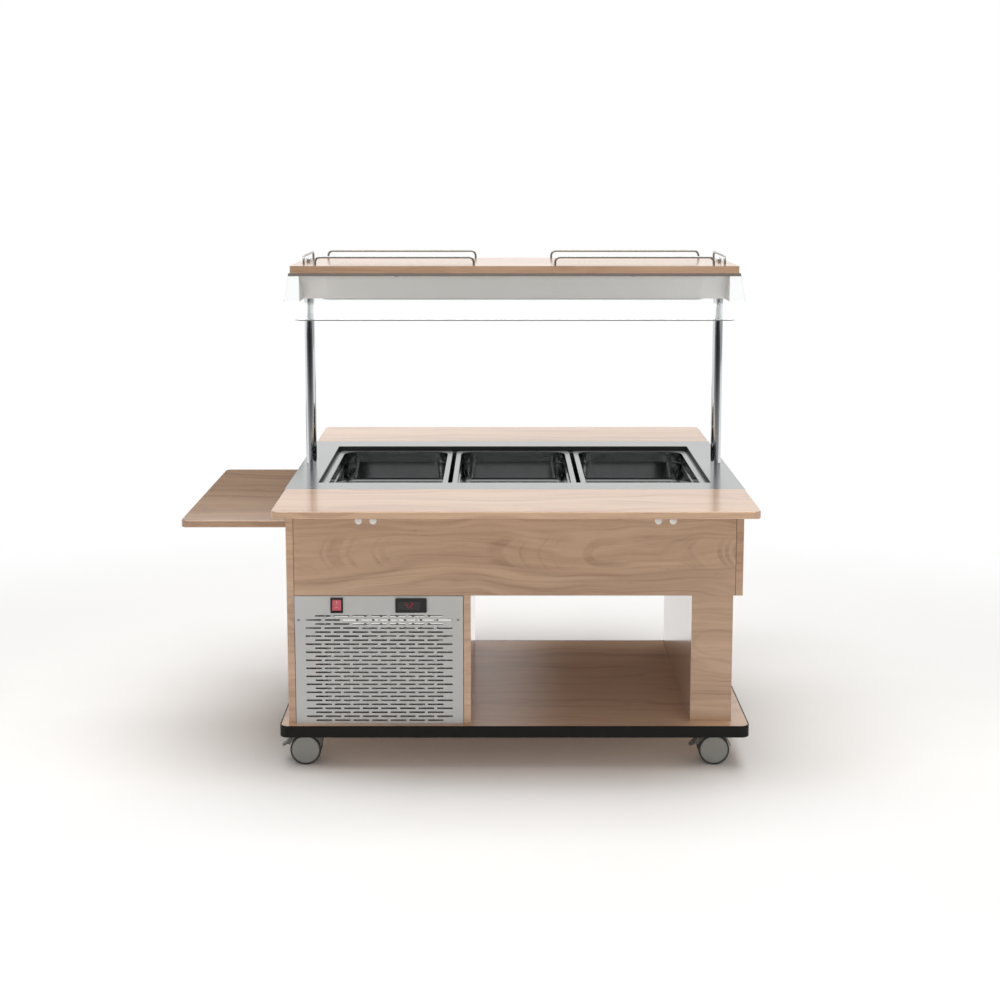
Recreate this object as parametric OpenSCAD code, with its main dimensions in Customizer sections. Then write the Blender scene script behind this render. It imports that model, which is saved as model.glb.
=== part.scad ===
// Mobile refrigerated salad bar: laminated body on castors, cold well with food pans,
// lit canopy with clear guards on two posts, folding trays and a folding side shelf.
// Millimetres, +Z up, front towards -Y. Lengths run along X, depths along Y.

/* [Body] */
// Length of the body and of the steel top
body_l = 1165; // [1130:5:1300]
// Depth of the body and of the steel top
body_d = 713; // [660:1:800]
// Height of the steel top above the floor
top_z = 739; // [720:1:820]
// Thickness of every laminated panel
panel_t = 18; // [16:1:22]
// Height of the underside of the upper box above the floor
box_z = 462; // [440:1:475]
// Length of the machine cabinet at the left end
cabinet_l = 470; // [450:1:520]
// Length of the right-hand box leg
leg_l = 106; // [80:1:140]
// Distance of the box leg from the right end of the body
leg_inset = 21.5; // [10:0.5:40]
// Depth of the grooves in the base deck that the boards stand in
groove = 3; // [2:0.5:6]

/* [Base and castors] */
// Length of the base deck
deck_l = 1210; // [1200:5:1340]
// Depth of the base deck
deck_d = 757; // [750:1:840]
// Thickness of the base deck
deck_t = 30; // [25:1:38]
// Plan radius of the corners of the base deck
deck_r = 22; // [10:1:40]
// Thickness of the edging band round the base deck
edging_t = 3; // [2:0.5:5]
// Height of the castors, floor to deck
castor_h = 92.5; // [92:0.5:110]
// Diameter of the castor wheels
wheel_d = 80; // [70:1:80]
// Width of one castor wheel
wheel_w = 21; // [17:1:24]
// Distance of a swivel axis from the end of the deck
castor_inset_x = 72; // [66:1:120]
// Distance of a swivel axis from the front or rear of the deck
castor_inset_y = 80; // [70:1:120]
// Trail of the wheel axle behind the swivel axis
trail = 12; // [8:1:16]

/* [Cold well and pans] */
// Width of a food pan over its rim
pan_w = 325; // [300:1:330]
// Length of a food pan over its rim
pan_l = 530; // [500:1:540]
// Depth of a food pan
pan_depth = 100; // [65:5:150]
// Gap between neighbouring pans
pan_gap = 12; // [6:1:14]
// Gap between the pans and the edge of the opening
pan_clear = 8; // [5:0.5:10]
// Depth of the pan rims below the steel top
sink = 12; // [8:1:20]
// Depth of the cold well below its ledge
well_depth = 205; // [170:5:210]
// Thickness of the steel sheet
sheet = 1.5; // [1:0.5:2]

/* [Gantry] */
// Height of the top of the canopy board above the floor
canopy_z = 1293; // [1250:1:1400]
// Length of the canopy board
board_l = 1165; // [1140:5:1300]
// Depth of the canopy board
board_d = 385; // [360:1:420]
// Thickness of the canopy board
board_t = 19; // [16:1:25]
// Diameter of the posts
post_d = 28; // [25:1:32]
// Distance of a post's axis from the end of the body
post_inset = 27.5; // [25:0.5:30]
// Height of the light housing
housing_h = 75.5; // [60:0.5:90]
// Depth of the light housing at its top
housing_top_d = 300; // [260:2:302]
// Depth of the light housing at its underside
housing_low_d = 124; // [116:2:150]
// Thickness of the clear guards
guard_t = 4; // [3:0.5:6]
// Reach of a guard beyond the canopy board
guard_reach = 139; // [110:1:160]
// Height of the sloping part of a guard
guard_drop = 107; // [80:1:130]
// Radius of the lower corners of a guard
guard_r = 50; // [20:1:70]
// Diameter of the gallery wire
wire_d = 6; // [5:0.5:8]
// Height of the gallery rails above the board
rail_h = 24; // [20:1:40]
// Length of a front or rear gallery rail
long_rail_l = 419; // [300:1:440]
// Length of an end gallery rail
end_rail_l = 230; // [160:1:260]

/* [Trays] */
// Depth of the front and rear trays
tray_d = 270; // [240:1:320]
// Thickness of the trays and of the side shelf
tray_t = 18; // [16:1:22]
// Plan radius of the free corners
tray_r = 22; // [10:1:40]
// Radius along the free edges
edge_r = 3; // [1:0.5:5]
// Reach of the side shelf
shelf_w = 268; // [240:1:300]
// Depth of the side shelf, front to back
shelf_d = 700; // [600:5:700]
// Depth of the side shelf below the steel top
shelf_drop = 83; // [70:1:100]
// Diameter of the support tubes
arm_d = 17; // [14:0.5:18]
// Distance between the two tubes of a pair
arm_pitch = 35; // [33:0.5:42]
// Distance of a tray's tube pairs from the middle
arm_x = 357.5; // [200:0.5:420]
// Distance of the shelf's tube pairs from the middle
shelf_arm_y = 150; // [100:1:260]
// Distance of the tube ends from the free edge
arm_setback = 27; // [20:1:60]

/* [Grilles and controls] */
// Length of a grille slot
slot_l = 41; // [30:1:42]
// Height of a grille slot
slot_h = 4; // [3:0.5:5]
// Distance between neighbouring slots of a row
slot_pitch_x = 48; // [46:1:60]
// Distance between rows of slots
slot_pitch_z = 10.66; // [9:0.01:14]
// Distance of the first row of slots from the top of the grille
slot_top = 52; // [46:1:70]
// Length of the thermostat's face
controller_l = 80; // [74:1:84]
// Height of the thermostat's face
controller_h = 37; // [33:0.5:38]
// Distance of the thermostat from the right edge of the grille
controller_x = 133; // [90:1:180]
// Distance of the switch from the left edge of the grille
switch_x = 108; // [70:1:140]
// Length of the switch bezel
switch_l = 32; // [28:1:36]
// Height of the switch bezel
switch_h = 40; // [34:1:41]
// Distance of the controls from the top of the grille
controls_z = 24; // [22:0.5:26]

/* [Condensing unit] */
// Length of the unit's base plate
unit_l = 420; // [400:1:426]
// Depth of the unit's base plate
unit_d = 560; // [520:5:600]
// Height of the unit's base plate above the deck
unit_rise = 12; // [8:1:20]
// Length of the condenser coil
coil_l = 290; // [250:2:300]
// Height of the condenser coil
coil_h = 160; // [156:2:190]
// Thickness of the condenser coil
coil_t = 44; // [30:1:60]
// Diameter of the fan
fan_d = 136; // [110:1:138]
// Number of fan blades
fan_blades_n = 5; // [3:1:7]
// Diameter of the compressor's shell
shell_d = 150; // [130:1:156]
// Height of the compressor above the unit's base plate
shell_h = 150; // [130:1:180]
// Diameter of the refrigerant pipes
pipe_d = 8; // [6:1:10]

/* [Hidden] */
$fn = 64;

// Finishes
WOOD = [0.68, 0.55, 0.45];
EDGE = [0.1, 0.1, 0.1];
STEEL = [0.74, 0.76, 0.76];
CHROME = [0.82, 0.83, 0.85];
GREY = [0.44, 0.44, 0.42];
BLACK = [0.08, 0.08, 0.09];

// Clearances
seam = 0.5;        // between panels and what folds or lifts away
fit = 0.3;         // round the controls in the grille, and under the grilles in their grooves
running = 0.1;     // radial, round pins, axles and shafts
post_clear = 0.1;  // radial, posts and rail feet in their holes

// Levels and half sizes
half_l = body_l / 2;
half_d = body_d / 2;
in_l = half_l - panel_t;
in_d = half_d - panel_t;
deck_z = castor_h + deck_t;
skirt_z = top_z - tray_t;
partition_x = -half_l + cabinet_l;
leg_x = half_l - leg_inset;
post_x = half_l - post_inset;

// Opening of the cold well
open_l = 3 * pan_w + 2 * pan_gap + 2 * pan_clear;
open_d = pan_l + 2 * pan_clear;
open_r = 3;
rim_h = 4;
rim_w = 12;
pan_t = 1.2;
ledge_z = top_z - sink - rim_h;
ledge_w = pan_clear + rim_w - 5;
well_l = open_l - 2 * ledge_w;
well_d = open_d - 2 * ledge_w;
well_r = 8;
well_z = ledge_z - well_depth - sheet;

// Drain
drain_x = 250;
drain_r = 16;
drain_bore_r = 12;
valve_z = box_z - 32;
stem_r = 4;

// Gantry
board_z = canopy_z - board_t;
housing_z = board_z - housing_h;
housing_wall = 2;
rod_r = 5;
rod_hole_r = 5.5;
housing_half = post_x + rod_hole_r + 3.5;
window_l = 2 * (post_x - 38);
window_d = housing_low_d - 32;
guard_half = board_l / 2 + 3.5;
rail_bend = 13;
rail_inset = 28;
rail_foot = 9;
nut_r = 9.2;
nut_sink = 1;

// Folding trays
pin_out = 15.5;
pin_r = 3;
arm_heel = 7;
arm_plate_t = 2;
arm_weld = 0.8;
arm_rise = arm_d / 2 + arm_plate_t - arm_weld;
plug_l = 12;
plug_rise = 2.5;
plug_dome_r = (pow(arm_d / 2, 2) + pow(plug_rise, 2)) / (2 * plug_rise);
tray_pin_z = skirt_z - arm_rise;
shelf_z = top_z - shelf_drop;
shelf_pin_z = shelf_z - tray_t - arm_rise;
bracket_t = 3;
lug_w = 12;

// The whole object stands over the middle of its footprint, side shelf raised
frame_x = (half_l + seam + shelf_w - deck_l / 2) / 2;

// Grilles
grille_gap = 1.5;
grille_x0 = -in_l + grille_gap;
grille_x1 = partition_x - panel_t - grille_gap;
grille_z0 = deck_z - groove + fit;
grille_z1 = box_z - grille_gap;
rear_inset = 10;
grille_t = 1.2;
grille_flange = 12;
slot_rows = floor((grille_z1 - grille_z0 - slot_top - slot_h - 2) / slot_pitch_z) + 1;
slot_cols = floor((grille_x1 - grille_x0 - 40 - slot_l) / slot_pitch_x) + 1;
gland_r = 10;

// Controls
controls_y = -half_d;
controller_cx = grille_x1 - controller_x;
switch_cx = grille_x0 + switch_x;
controls_cz = grille_z1 - controls_z;
controller_body = [controller_l - 9, controller_h - 8, 52];
switch_body = [switch_l - 5, switch_h - 5, 26];
controller_t = 5;
display_l = controller_l - 22;
display_h = 22;
display_x = -5;
bezel_t = 3;
switch_wall = 1.8;
rocker_tilt = 9;
rocker_pivot = 4;
rocker_w = switch_body[0] - 2 * switch_wall - 0.8;
rocker_half = switch_body[1] / 2 - switch_wall - 1.2;

// Condensing unit
unit_cx = (grille_x0 + grille_x1) / 2;
unit_z = deck_z + unit_rise;
coil_y = -250;
shroud_y = coil_y + coil_t;
shroud_depth = 30;
fan_z = unit_z + coil_h / 2;
fan_gap = 6;
motor_y = shroud_y + shroud_depth + 16;
motor_r = 30;
motor_l = 46;
dome_h = 38;
shell_x = unit_cx - unit_l / 2 + shell_d / 2 + 2.5;
shell_y = 0;
stub_l = 14;
stub_z = [70, 50];
fin_pitch = 6;
fin_slot = 4.4;
fin_depth = 9;
pipe_gap = 7;
pipe_hole_r = 20;
pipe_hole_x = partition_x - panel_t - pipe_hole_r - 6.5;
pipe_hole_y = 200;

// Castors
wheel_r = wheel_d / 2;
castor_x = deck_l / 2 - castor_inset_x;
castor_y = deck_d / 2 - castor_inset_y;
castor_plate_t = 2.5;
web_t = 12;
hub_gap = 1;
axle_r = 4;
king_r = 4;
hood_r = wheel_r + 2;
hood_t = 2.5;
hood_w = web_t + 2 * hub_gap + 2 * wheel_w;
head_r = 24;
head_z0 = wheel_d + 1.5;
head_z1 = castor_h - castor_plate_t - 0.3;
pedal_angle = 157;
pedal_reach = hood_r + 5;
pedal_tilt = 36;

module in_frame() translate([frame_x, 0, 0]) children();

module block(x, y, z) translate([x[0], y[0], z[0]]) cube([x[1] - x[0], y[1] - y[0], z[1] - z[0]]);

module rounded_rect(l, d, r) {
    square([l - 2 * r, d], center = true);
    square([l, d - 2 * r], center = true);
    for (sx = [-1, 1], sy = [-1, 1])
        translate([sx * (l / 2 - r), sy * (d / 2 - r)]) circle(r);
}

// Upright frame of thickness t outside the outline
module rounded_ring(l, d, r, t, h) {
    linear_extrude(h) difference() {
        rounded_rect(l + 2 * t, d + 2 * t, r + t);
        rounded_rect(l, d, r);
    }
}

// Section drawn in Y and Z, carried along X and centred
module along_x(length) rotate([90, 0, 90]) linear_extrude(length, center = true) children();

// Outline drawn in X and Z, carried along Y and centred
module along_y(length) rotate([90, 0, 0]) linear_extrude(length, center = true) children();

// ---- Base ----

module base_deck() in_frame() color(WOOD) difference() {
    translate([0, 0, castor_h]) linear_extrude(deck_t)
        rounded_rect(deck_l - 2 * edging_t, deck_d - 2 * edging_t, deck_r - edging_t);
    translate([0, 0, deck_z - groove]) linear_extrude(groove + 1) {
        translate([-half_l, -half_d]) square([panel_t, body_d]);
        translate([partition_x - panel_t, -half_d]) square([panel_t, body_d]);
        for (y = [-half_d, half_d - rear_inset - grille_t - grille_flange])
            translate([-in_l - 1, y]) square([cabinet_l - 2 * panel_t + 2, grille_t + grille_flange]);
        leg_section();
    }
}

module deck_edging() in_frame() color(EDGE)
    translate([0, 0, castor_h])
        rounded_ring(deck_l - 2 * edging_t, deck_d - 2 * edging_t, deck_r - edging_t, edging_t, deck_t);

// ---- Body panels ----

module left_side_panel() in_frame() color(WOOD)
    block([-half_l, -in_l], [-half_d, half_d], [deck_z - groove, skirt_z]);

module right_end_panel() in_frame() color(WOOD)
    block([in_l, half_l], [-half_d, half_d], [box_z, skirt_z]);

module front_apron() in_frame() color(WOOD)
    block([-in_l, in_l], [-half_d, -in_d], [box_z, skirt_z]);

module rear_apron() in_frame() color(WOOD)
    block([-in_l, in_l], [in_d, half_d], [box_z, skirt_z]);

module box_floor() in_frame() color(WOOD) difference() {
    block([-in_l, in_l], [-in_d, in_d], [box_z, box_z + panel_t]);
    translate([drain_x, 0, box_z - 1]) cylinder(r = drain_r + 2, h = panel_t + 2);
    translate([pipe_hole_x, pipe_hole_y, box_z - 1]) cylinder(r = pipe_hole_r, h = panel_t + 2);
}

module cabinet_partition() in_frame() color(WOOD)
    block([partition_x - panel_t, partition_x], [-half_d, half_d], [deck_z - groove, box_z]);

// Box section made of four panels
module leg_section() difference() {
    translate([leg_x - leg_l, -in_d]) square([leg_l, 2 * in_d]);
    translate([leg_x - leg_l + panel_t, -in_d + panel_t])
        square([leg_l - 2 * panel_t, 2 * (in_d - panel_t)]);
}

module right_leg() in_frame() color(WOOD)
    translate([0, 0, deck_z - groove]) linear_extrude(box_z - deck_z + groove) leg_section();

// ---- Steel top and cold well ----

module top_frame() in_frame() color(STEEL) difference() {
    union() {
        translate([0, 0, top_z - sheet]) linear_extrude(sheet) difference() {
            square([body_l, body_d], center = true);
            rounded_rect(open_l, open_d, open_r);
        }
        translate([0, 0, skirt_z]) linear_extrude(tray_t) difference() {
            square([body_l, body_d], center = true);
            square([body_l - 2 * sheet, body_d - 2 * sheet], center = true);
        }
        translate([0, 0, ledge_z]) rounded_ring(open_l, open_d, open_r, sheet, top_z - ledge_z);
    }
    for (s = [-1, 1]) translate([s * post_x, 0, top_z - 2 * sheet])
        cylinder(r = post_d / 2 + post_clear, h = 3 * sheet);
}

// Folded walls with the ledge that carries the pans; they stand on the floor sheet
module cold_well() in_frame() color(STEEL) {
    translate([0, 0, ledge_z - sheet]) rounded_ring(well_l, well_d, well_r, ledge_w + 8, sheet);
    translate([0, 0, well_z + sheet])
        rounded_ring(well_l, well_d, well_r, sheet, ledge_z - well_z - sheet);
}

module well_floor() in_frame() color(STEEL) difference() {
    translate([0, 0, well_z]) linear_extrude(sheet)
        rounded_rect(well_l + 2 * sheet, well_d + 2 * sheet, well_r + sheet);
    translate([drain_x, 0, well_z - 1]) cylinder(r = drain_bore_r, h = sheet + 2);
}

// Inside or outside of a pan: wide radii at the rim, a collar with the shoulder that pans stack on,
// tapered walls below it and ball corners at the bottom
module pan_form(inset, over) {
    body_w = pan_w - 2 * rim_w;
    body_len = pan_l - 2 * rim_w;
    top_r = 42;
    low_r = 26;
    taper = 7;
    collar = 26;
    step = 2.5;
    hull() for (sx = [-1, 1], sy = [-1, 1])
        translate([sx * (body_w / 2 - top_r), sy * (body_len / 2 - top_r), inset - collar])
            cylinder(r = top_r - inset, h = collar - inset + rim_h + over, $fn = 32);
    hull() for (sx = [-1, 1], sy = [-1, 1]) {
        translate([sx * (body_w / 2 - top_r), sy * (body_len / 2 - top_r), -collar])
            cylinder(r = top_r - step - inset, h = 4, $fn = 32);
        translate([sx * (body_w / 2 - taper - low_r), sy * (body_len / 2 - taper - low_r),
                   rim_h - pan_depth + low_r])
            sphere(low_r - inset, $fn = 32);
    }
}

module pan(i) in_frame() color(STEEL) translate([i * (pan_w + pan_gap), 0, ledge_z]) difference() {
    union() {
        translate([0, 0, rim_h - pan_t]) linear_extrude(pan_t) rounded_rect(pan_w, pan_l, 16);
        rounded_ring(pan_w - 2 * pan_t, pan_l - 2 * pan_t, 16 - pan_t, pan_t, rim_h);
        pan_form(0, 0);
    }
    pan_form(pan_t, 1);
}

module pan_left() pan(-1);
module pan_middle() pan(0);
module pan_right() pan(1);

// ---- Drain ----

module drain_valve() in_frame() color([0.75, 0.65, 0.35]) translate([drain_x, 0, 0]) difference() {
    union() {
        translate([0, 0, valve_z - 34]) cylinder(r = drain_r, h = well_z - valve_z + 34);
        translate([0, 0, valve_z - 18]) cylinder(r = 22, h = 36, $fn = 8);
        translate([0, -34, valve_z]) rotate([-90, 0, 0]) cylinder(r = 9, h = 30);
        translate([0, -42, valve_z]) rotate([-90, 0, 0]) cylinder(r = stem_r, h = 10);
    }
    translate([0, 0, valve_z - 35]) cylinder(r = drain_bore_r, h = well_z - valve_z + 36);
}

module drain_lever() in_frame() color([0.75, 0.15, 0.12]) translate([drain_x, -34.3, valve_z])
    difference() {
        union() {
            rotate([90, 0, 0]) cylinder(r = 10, h = 5);
            block([0, 66], [-5, -2], [-7, 7]);
            translate([66, -2, 0]) rotate([90, 0, 0]) cylinder(r = 7, h = 3);
        }
        translate([0, 1, 0]) rotate([90, 0, 0]) cylinder(r = stem_r + running, h = 8);
    }

// ---- Grilles ----

// Slots of one row, n of them, centred on the middle of the grille
module slot_row(n) for (i = [0:n - 1]) translate([(i - (n - 1) / 2) * slot_pitch_x, 0]) {
    square([slot_l - slot_h, slot_h], center = true);
    for (s = [-1, 1]) translate([s * (slot_l - slot_h) / 2, 0]) circle(slot_h / 2);
}

// Sheet with staggered slots, drawn in X and Z
module slotted_sheet() difference() {
    translate([grille_x0, grille_z0]) square([grille_x1 - grille_x0, grille_z1 - grille_z0]);
    for (i = [0:slot_rows - 1])
        translate([(grille_x0 + grille_x1) / 2, grille_z1 - slot_top - i * slot_pitch_z])
            slot_row(i % 2 == 0 ? slot_cols - 1 : slot_cols);
}

// Edges of the grille, folded inwards
module grille_fold() along_y(grille_flange) difference() {
    translate([grille_x0, grille_z0]) square([grille_x1 - grille_x0, grille_z1 - grille_z0]);
    translate([grille_x0 + grille_t, grille_z0 + grille_t])
        square([grille_x1 - grille_x0 - 2 * grille_t, grille_z1 - grille_z0 - 2 * grille_t]);
}

module front_grille() in_frame() color([0.67, 0.67, 0.66]) {
    translate([0, -half_d + grille_t / 2, 0]) along_y(grille_t) difference() {
        slotted_sheet();
        translate([controller_cx, controls_cz])
            square([controller_body[0] + 2 * fit, controller_body[1] + 2 * fit], center = true);
        translate([switch_cx, controls_cz])
            square([switch_body[0] + 2 * fit, switch_body[1] + 2 * fit], center = true);
    }
    translate([0, -half_d + grille_t + grille_flange / 2, 0]) grille_fold();
}

module rear_grille() in_frame() color([0.67, 0.67, 0.66]) {
    translate([0, half_d - rear_inset - grille_t / 2, 0]) along_y(grille_t) difference() {
        slotted_sheet();
        translate([unit_cx, controls_cz]) circle(gland_r);
    }
    translate([0, half_d - rear_inset - grille_t - grille_flange / 2, 0]) grille_fold();
}

// Cable entry of the rear grille: nut inside, body and clamping dome outside
module cable_gland() in_frame() color(BLACK) translate([unit_cx, half_d - rear_inset, controls_cz])
    rotate([-90, 0, 0]) difference() {
        union() {
            translate([0, 0, -grille_t - 6]) cylinder(r = 14, h = 6, $fn = 6);
            translate([0, 0, -grille_t - 6]) cylinder(r = gland_r, h = grille_t + 8);
            cylinder(r = 13.5, h = 7, $fn = 6);
            translate([0, 0, 7]) cylinder(r = 11, h = 6);
        }
        translate([0, 0, -grille_t - 7]) cylinder(r = 5, h = grille_t + 21);
    }

// ---- Controls ----

// Open box behind a rim, drawn about the middle of its face
module switch_bezel() in_frame() color(BLACK) translate([switch_cx, controls_y, controls_cz])
    difference() {
        union() {
            translate([0, -bezel_t / 2, 0]) cube([switch_l, bezel_t, switch_h], center = true);
            translate([0, switch_body[2] / 2, 0])
                cube([switch_body[0], switch_body[2], switch_body[1]], center = true);
        }
        translate([0, (18 - bezel_t) / 2 - 1, 0])
            cube([switch_body[0] - 2 * switch_wall, 20 + bezel_t, switch_body[1] - 2 * switch_wall],
                 center = true);
        translate([0, rocker_pivot, 0]) rotate([0, 90, 0])
            cylinder(r = 1.5 + running, h = switch_body[0] - 1, center = true);
    }

// Two-faced key, tilted with its upper end pressed
module switch_rocker() in_frame() color([0.75, 0.18, 0.2])
    translate([switch_cx, controls_y + rocker_pivot, controls_cz]) rotate([-rocker_tilt, 0, 0]) {
        along_x(rocker_w) polygon([
            [4, -rocker_half + 3], [4, rocker_half - 3], [-5, rocker_half - 0.2],
            [-7.5, rocker_half - 1.2], [-6, 0], [-7.5, -rocker_half + 1.2], [-5, -rocker_half + 0.2]]);
        rotate([0, 90, 0]) cylinder(r = 1.5, h = rocker_w + 1.6, center = true);
    }

module controller_case() in_frame() color(BLACK) translate([controller_cx, controls_y, controls_cz])
    difference() {
        union() {
            translate([0, -controller_t, 0]) rotate([-90, 0, 0])
                linear_extrude(controller_t) rounded_rect(controller_l, controller_h, 3);
            translate([0, controller_body[2] / 2, 0])
                cube([controller_body[0], controller_body[2], controller_body[1]], center = true);
        }
        translate([display_x, -controller_t, 0])
            cube([display_l + 0.4, 3, display_h + 0.4], center = true);
    }

module controller_display() in_frame() color([0.35, 0.05, 0.05])
    translate([controller_cx + display_x, controls_y - controller_t + 0.75, controls_cz])
        cube([display_l, 1.5, display_h], center = true);

// ---- Condensing unit ----

module unit_base() in_frame() color([0.35, 0.36, 0.38]) {
    block([unit_cx - unit_l / 2, unit_cx + unit_l / 2], [-unit_d / 2, unit_d / 2], [unit_z - 2, unit_z]);
    for (s = [-1, 1])
        translate([unit_cx + s * (unit_l / 2 - 1), 0, (deck_z + unit_z - 2) / 2])
            cube([2, unit_d, unit_z - 2 - deck_z], center = true);
}

module compressor() in_frame() color(BLACK) translate([shell_x, shell_y, unit_z]) {
    foot = shell_d / 2 - 13;
    dome_r = (shell_d * shell_d / 4 + dome_h * dome_h) / (2 * dome_h);
    difference() {
        union() {
            for (sx = [-1, 1], sy = [-1, 1]) translate([sx * foot, sy * foot, 0]) cylinder(r = 12, h = 10);
            translate([0, 0, 10]) linear_extrude(4) rounded_rect(shell_d, shell_d, 13);
        }
        for (sx = [-1, 1], sy = [-1, 1]) translate([sx * foot, sy * foot, -1]) cylinder(r = 4, h = 6);
    }
    translate([0, 0, 13]) cylinder(d = shell_d - 8, h = shell_h - dome_h - 13);
    translate([0, 0, shell_h - dome_h]) rotate_extrude() intersection() {
        translate([0, dome_h - dome_r]) circle(dome_r);
        square([shell_d / 2 - 4, dome_h]);
    }
    translate([0, 0, shell_h - dome_h - 8]) cylinder(d = shell_d, h = 6);
    translate([shell_d / 2 - 16, -26, 42]) cube([46, 52, 52]);
    translate([-10, -shell_d / 2 - stub_l, stub_z[0]]) rotate([-90, 0, 0]) cylinder(d = pipe_d + 4, h = 30);
    translate([24, shell_d / 2 + stub_l - 30, stub_z[1]]) rotate([-90, 0, 0]) cylinder(d = pipe_d + 4, h = 30);
}

// Finned block between two end plates, with the return bends of its tubes at the left
module condenser_coil() in_frame() color([0.6, 0.6, 0.62]) translate([unit_cx, coil_y, unit_z]) {
    n = floor((coil_l - 12) / fin_pitch);
    linear_extrude(coil_h) difference() {
        translate([-coil_l / 2, 0]) square([coil_l, coil_t]);
        for (i = [0:n - 1], side = [0, 1])
            translate([(i - (n - 1) / 2) * fin_pitch - fin_slot / 2,
                       side == 0 ? -1 : coil_t - fin_depth])
                square([fin_slot, fin_depth + 1]);
    }
    for (z = [24:44:coil_h - 40])
        translate([-coil_l / 2 + 1, coil_t / 2, z]) rotate([90, 0, 0]) rotate([0, 0, 90])
            rotate_extrude(angle = 180) translate([13, 0]) circle(d = pipe_d);
}

module fan_shroud() in_frame() color([0.3, 0.31, 0.33]) difference() {
    block([unit_cx - coil_l / 2, unit_cx + coil_l / 2], [shroud_y, shroud_y + shroud_depth],
          [unit_z, unit_z + coil_h]);
    block([unit_cx - coil_l / 2 + 2, unit_cx + coil_l / 2 - 2],
          [shroud_y - 1, shroud_y + shroud_depth - 2], [unit_z - 1, unit_z + coil_h - 2]);
    translate([unit_cx, shroud_y + shroud_depth - 3, fan_z]) rotate([-90, 0, 0])
        cylinder(r = fan_d / 2 + fan_gap, h = 6);
}

// Motor on four arms that stand on the back of the shroud
module fan_motor() in_frame() color([0.2, 0.2, 0.22]) translate([unit_cx, 0, fan_z]) {
    back = shroud_y + shroud_depth;
    arm_r = fan_d / 2 + fan_gap + 14;
    translate([0, motor_y, 0]) rotate([-90, 0, 0]) cylinder(r = motor_r, h = motor_l);
    translate([0, motor_y + motor_l - 1, 0]) rotate([-90, 0, 0]) cylinder(r = motor_r - 12, h = 11);
    for (a = [45:90:315]) rotate([0, a, 0]) {
        translate([-6, motor_y, 0]) cube([12, 4, arm_r]);
        translate([0, back, arm_r - 6]) rotate([-90, 0, 0]) cylinder(r = 5, h = motor_y - back + 1);
    }
    translate([0, motor_y - 24, 0]) rotate([-90, 0, 0]) cylinder(r = 4, h = 25);
}

// Hub with tilted blades cut to a round outline
module fan_blades() in_frame() color([0.75, 0.75, 0.77])
    translate([unit_cx, motor_y - 16, fan_z]) rotate([90, 0, 0]) difference() {
        union() {
            translate([0, 0, -9]) cylinder(r = 20, h = 20);
            intersection() {
                translate([0, 0, -12]) cylinder(d = fan_d, h = 24);
                for (i = [0:fan_blades_n - 1]) rotate([0, 0, i * 360 / fan_blades_n])
                    rotate([24, 0, 0]) translate([16, -18, -1])
                        linear_extrude(2) polygon([[0, 6], [0, 30], [fan_d / 2, 42], [fan_d / 2, -6]]);
            }
        }
        translate([0, 0, -17]) cylinder(r = 4 + running, h = 25.3);
    }

// Tube along straight runs, with ball corners
module tube_run(points) {
    for (i = [0:len(points) - 2]) {
        run = points[i + 1] - points[i];
        translate(points[i]) rotate([0, acos(run[2] / norm(run)), atan2(run[1], run[0])])
            cylinder(d = pipe_d, h = norm(run));
    }
    if (len(points) > 2) for (i = [1:len(points) - 2]) translate(points[i]) sphere(d = pipe_d);
}

// Discharge line, liquid line to the well and suction line back to the compressor
module refrigerant_pipes() in_frame() color([0.72, 0.45, 0.3]) {
    out_y = shell_y - shell_d / 2 - stub_l;
    in_y = shell_y + shell_d / 2 + stub_l;
    left = unit_cx - coil_l / 2;
    right = unit_cx + coil_l / 2;
    discharge_z = unit_z + stub_z[0];
    suction_z = unit_z + stub_z[1];
    liquid_z = unit_z + 20;
    tube_run([[shell_x - 10, out_y, discharge_z], [shell_x - 10, out_y - 24, discharge_z],
              [left - 32, out_y - 24, discharge_z], [left - 32, coil_y + 10, discharge_z],
              [left - 32, coil_y + 10, unit_z + coil_h - 10], [left, coil_y + 10, unit_z + coil_h - 10]]);
    tube_run([[right, coil_y + coil_t - 14, liquid_z], [right + 14, coil_y + coil_t - 14, liquid_z],
              [right + 14, pipe_hole_y, liquid_z], [pipe_hole_x - pipe_gap, pipe_hole_y, liquid_z],
              [pipe_hole_x - pipe_gap, pipe_hole_y, well_z]]);
    tube_run([[shell_x + 24, in_y, suction_z], [shell_x + 24, in_y + 22, suction_z],
              [pipe_hole_x + pipe_gap, in_y + 22, suction_z], [pipe_hole_x + pipe_gap, pipe_hole_y, suction_z],
              [pipe_hole_x + pipe_gap, pipe_hole_y, well_z]]);
}

// ---- Gantry ----

// Tube from the flange under the steel top, through the sheet, up to the light housing
module post(s) in_frame() color(CHROME) translate([s * post_x, 0, top_z - sheet]) difference() {
    cylinder(d = post_d, h = housing_z - top_z + sheet);
    translate([0, 0, -1]) cylinder(d = post_d - 3, h = housing_z - top_z + sheet + 2);
}

module left_post() post(-1);
module right_post() post(1);

// Rods through the posts, with a flanged nut under the steel top and a dome nut let into the board
module tie_rods() in_frame() color(CHROME) for (s = [-1, 1]) translate([s * post_x, 0, 0]) {
    under = top_z - sheet;
    translate([0, 0, under - 14]) cylinder(r = rod_r, h = canopy_z - under + 16);
    translate([0, 0, under - 3]) cylinder(r = post_d / 2 + 3, h = 3);
    translate([0, 0, under - 10]) cylinder(r = 9.8, h = 8, $fn = 6);
    translate([0, 0, canopy_z - nut_sink]) cylinder(r = nut_r, h = nut_sink + 7, $fn = 6);
    translate([0, 0, canopy_z + 6.8]) sphere(6.7);
}

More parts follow.
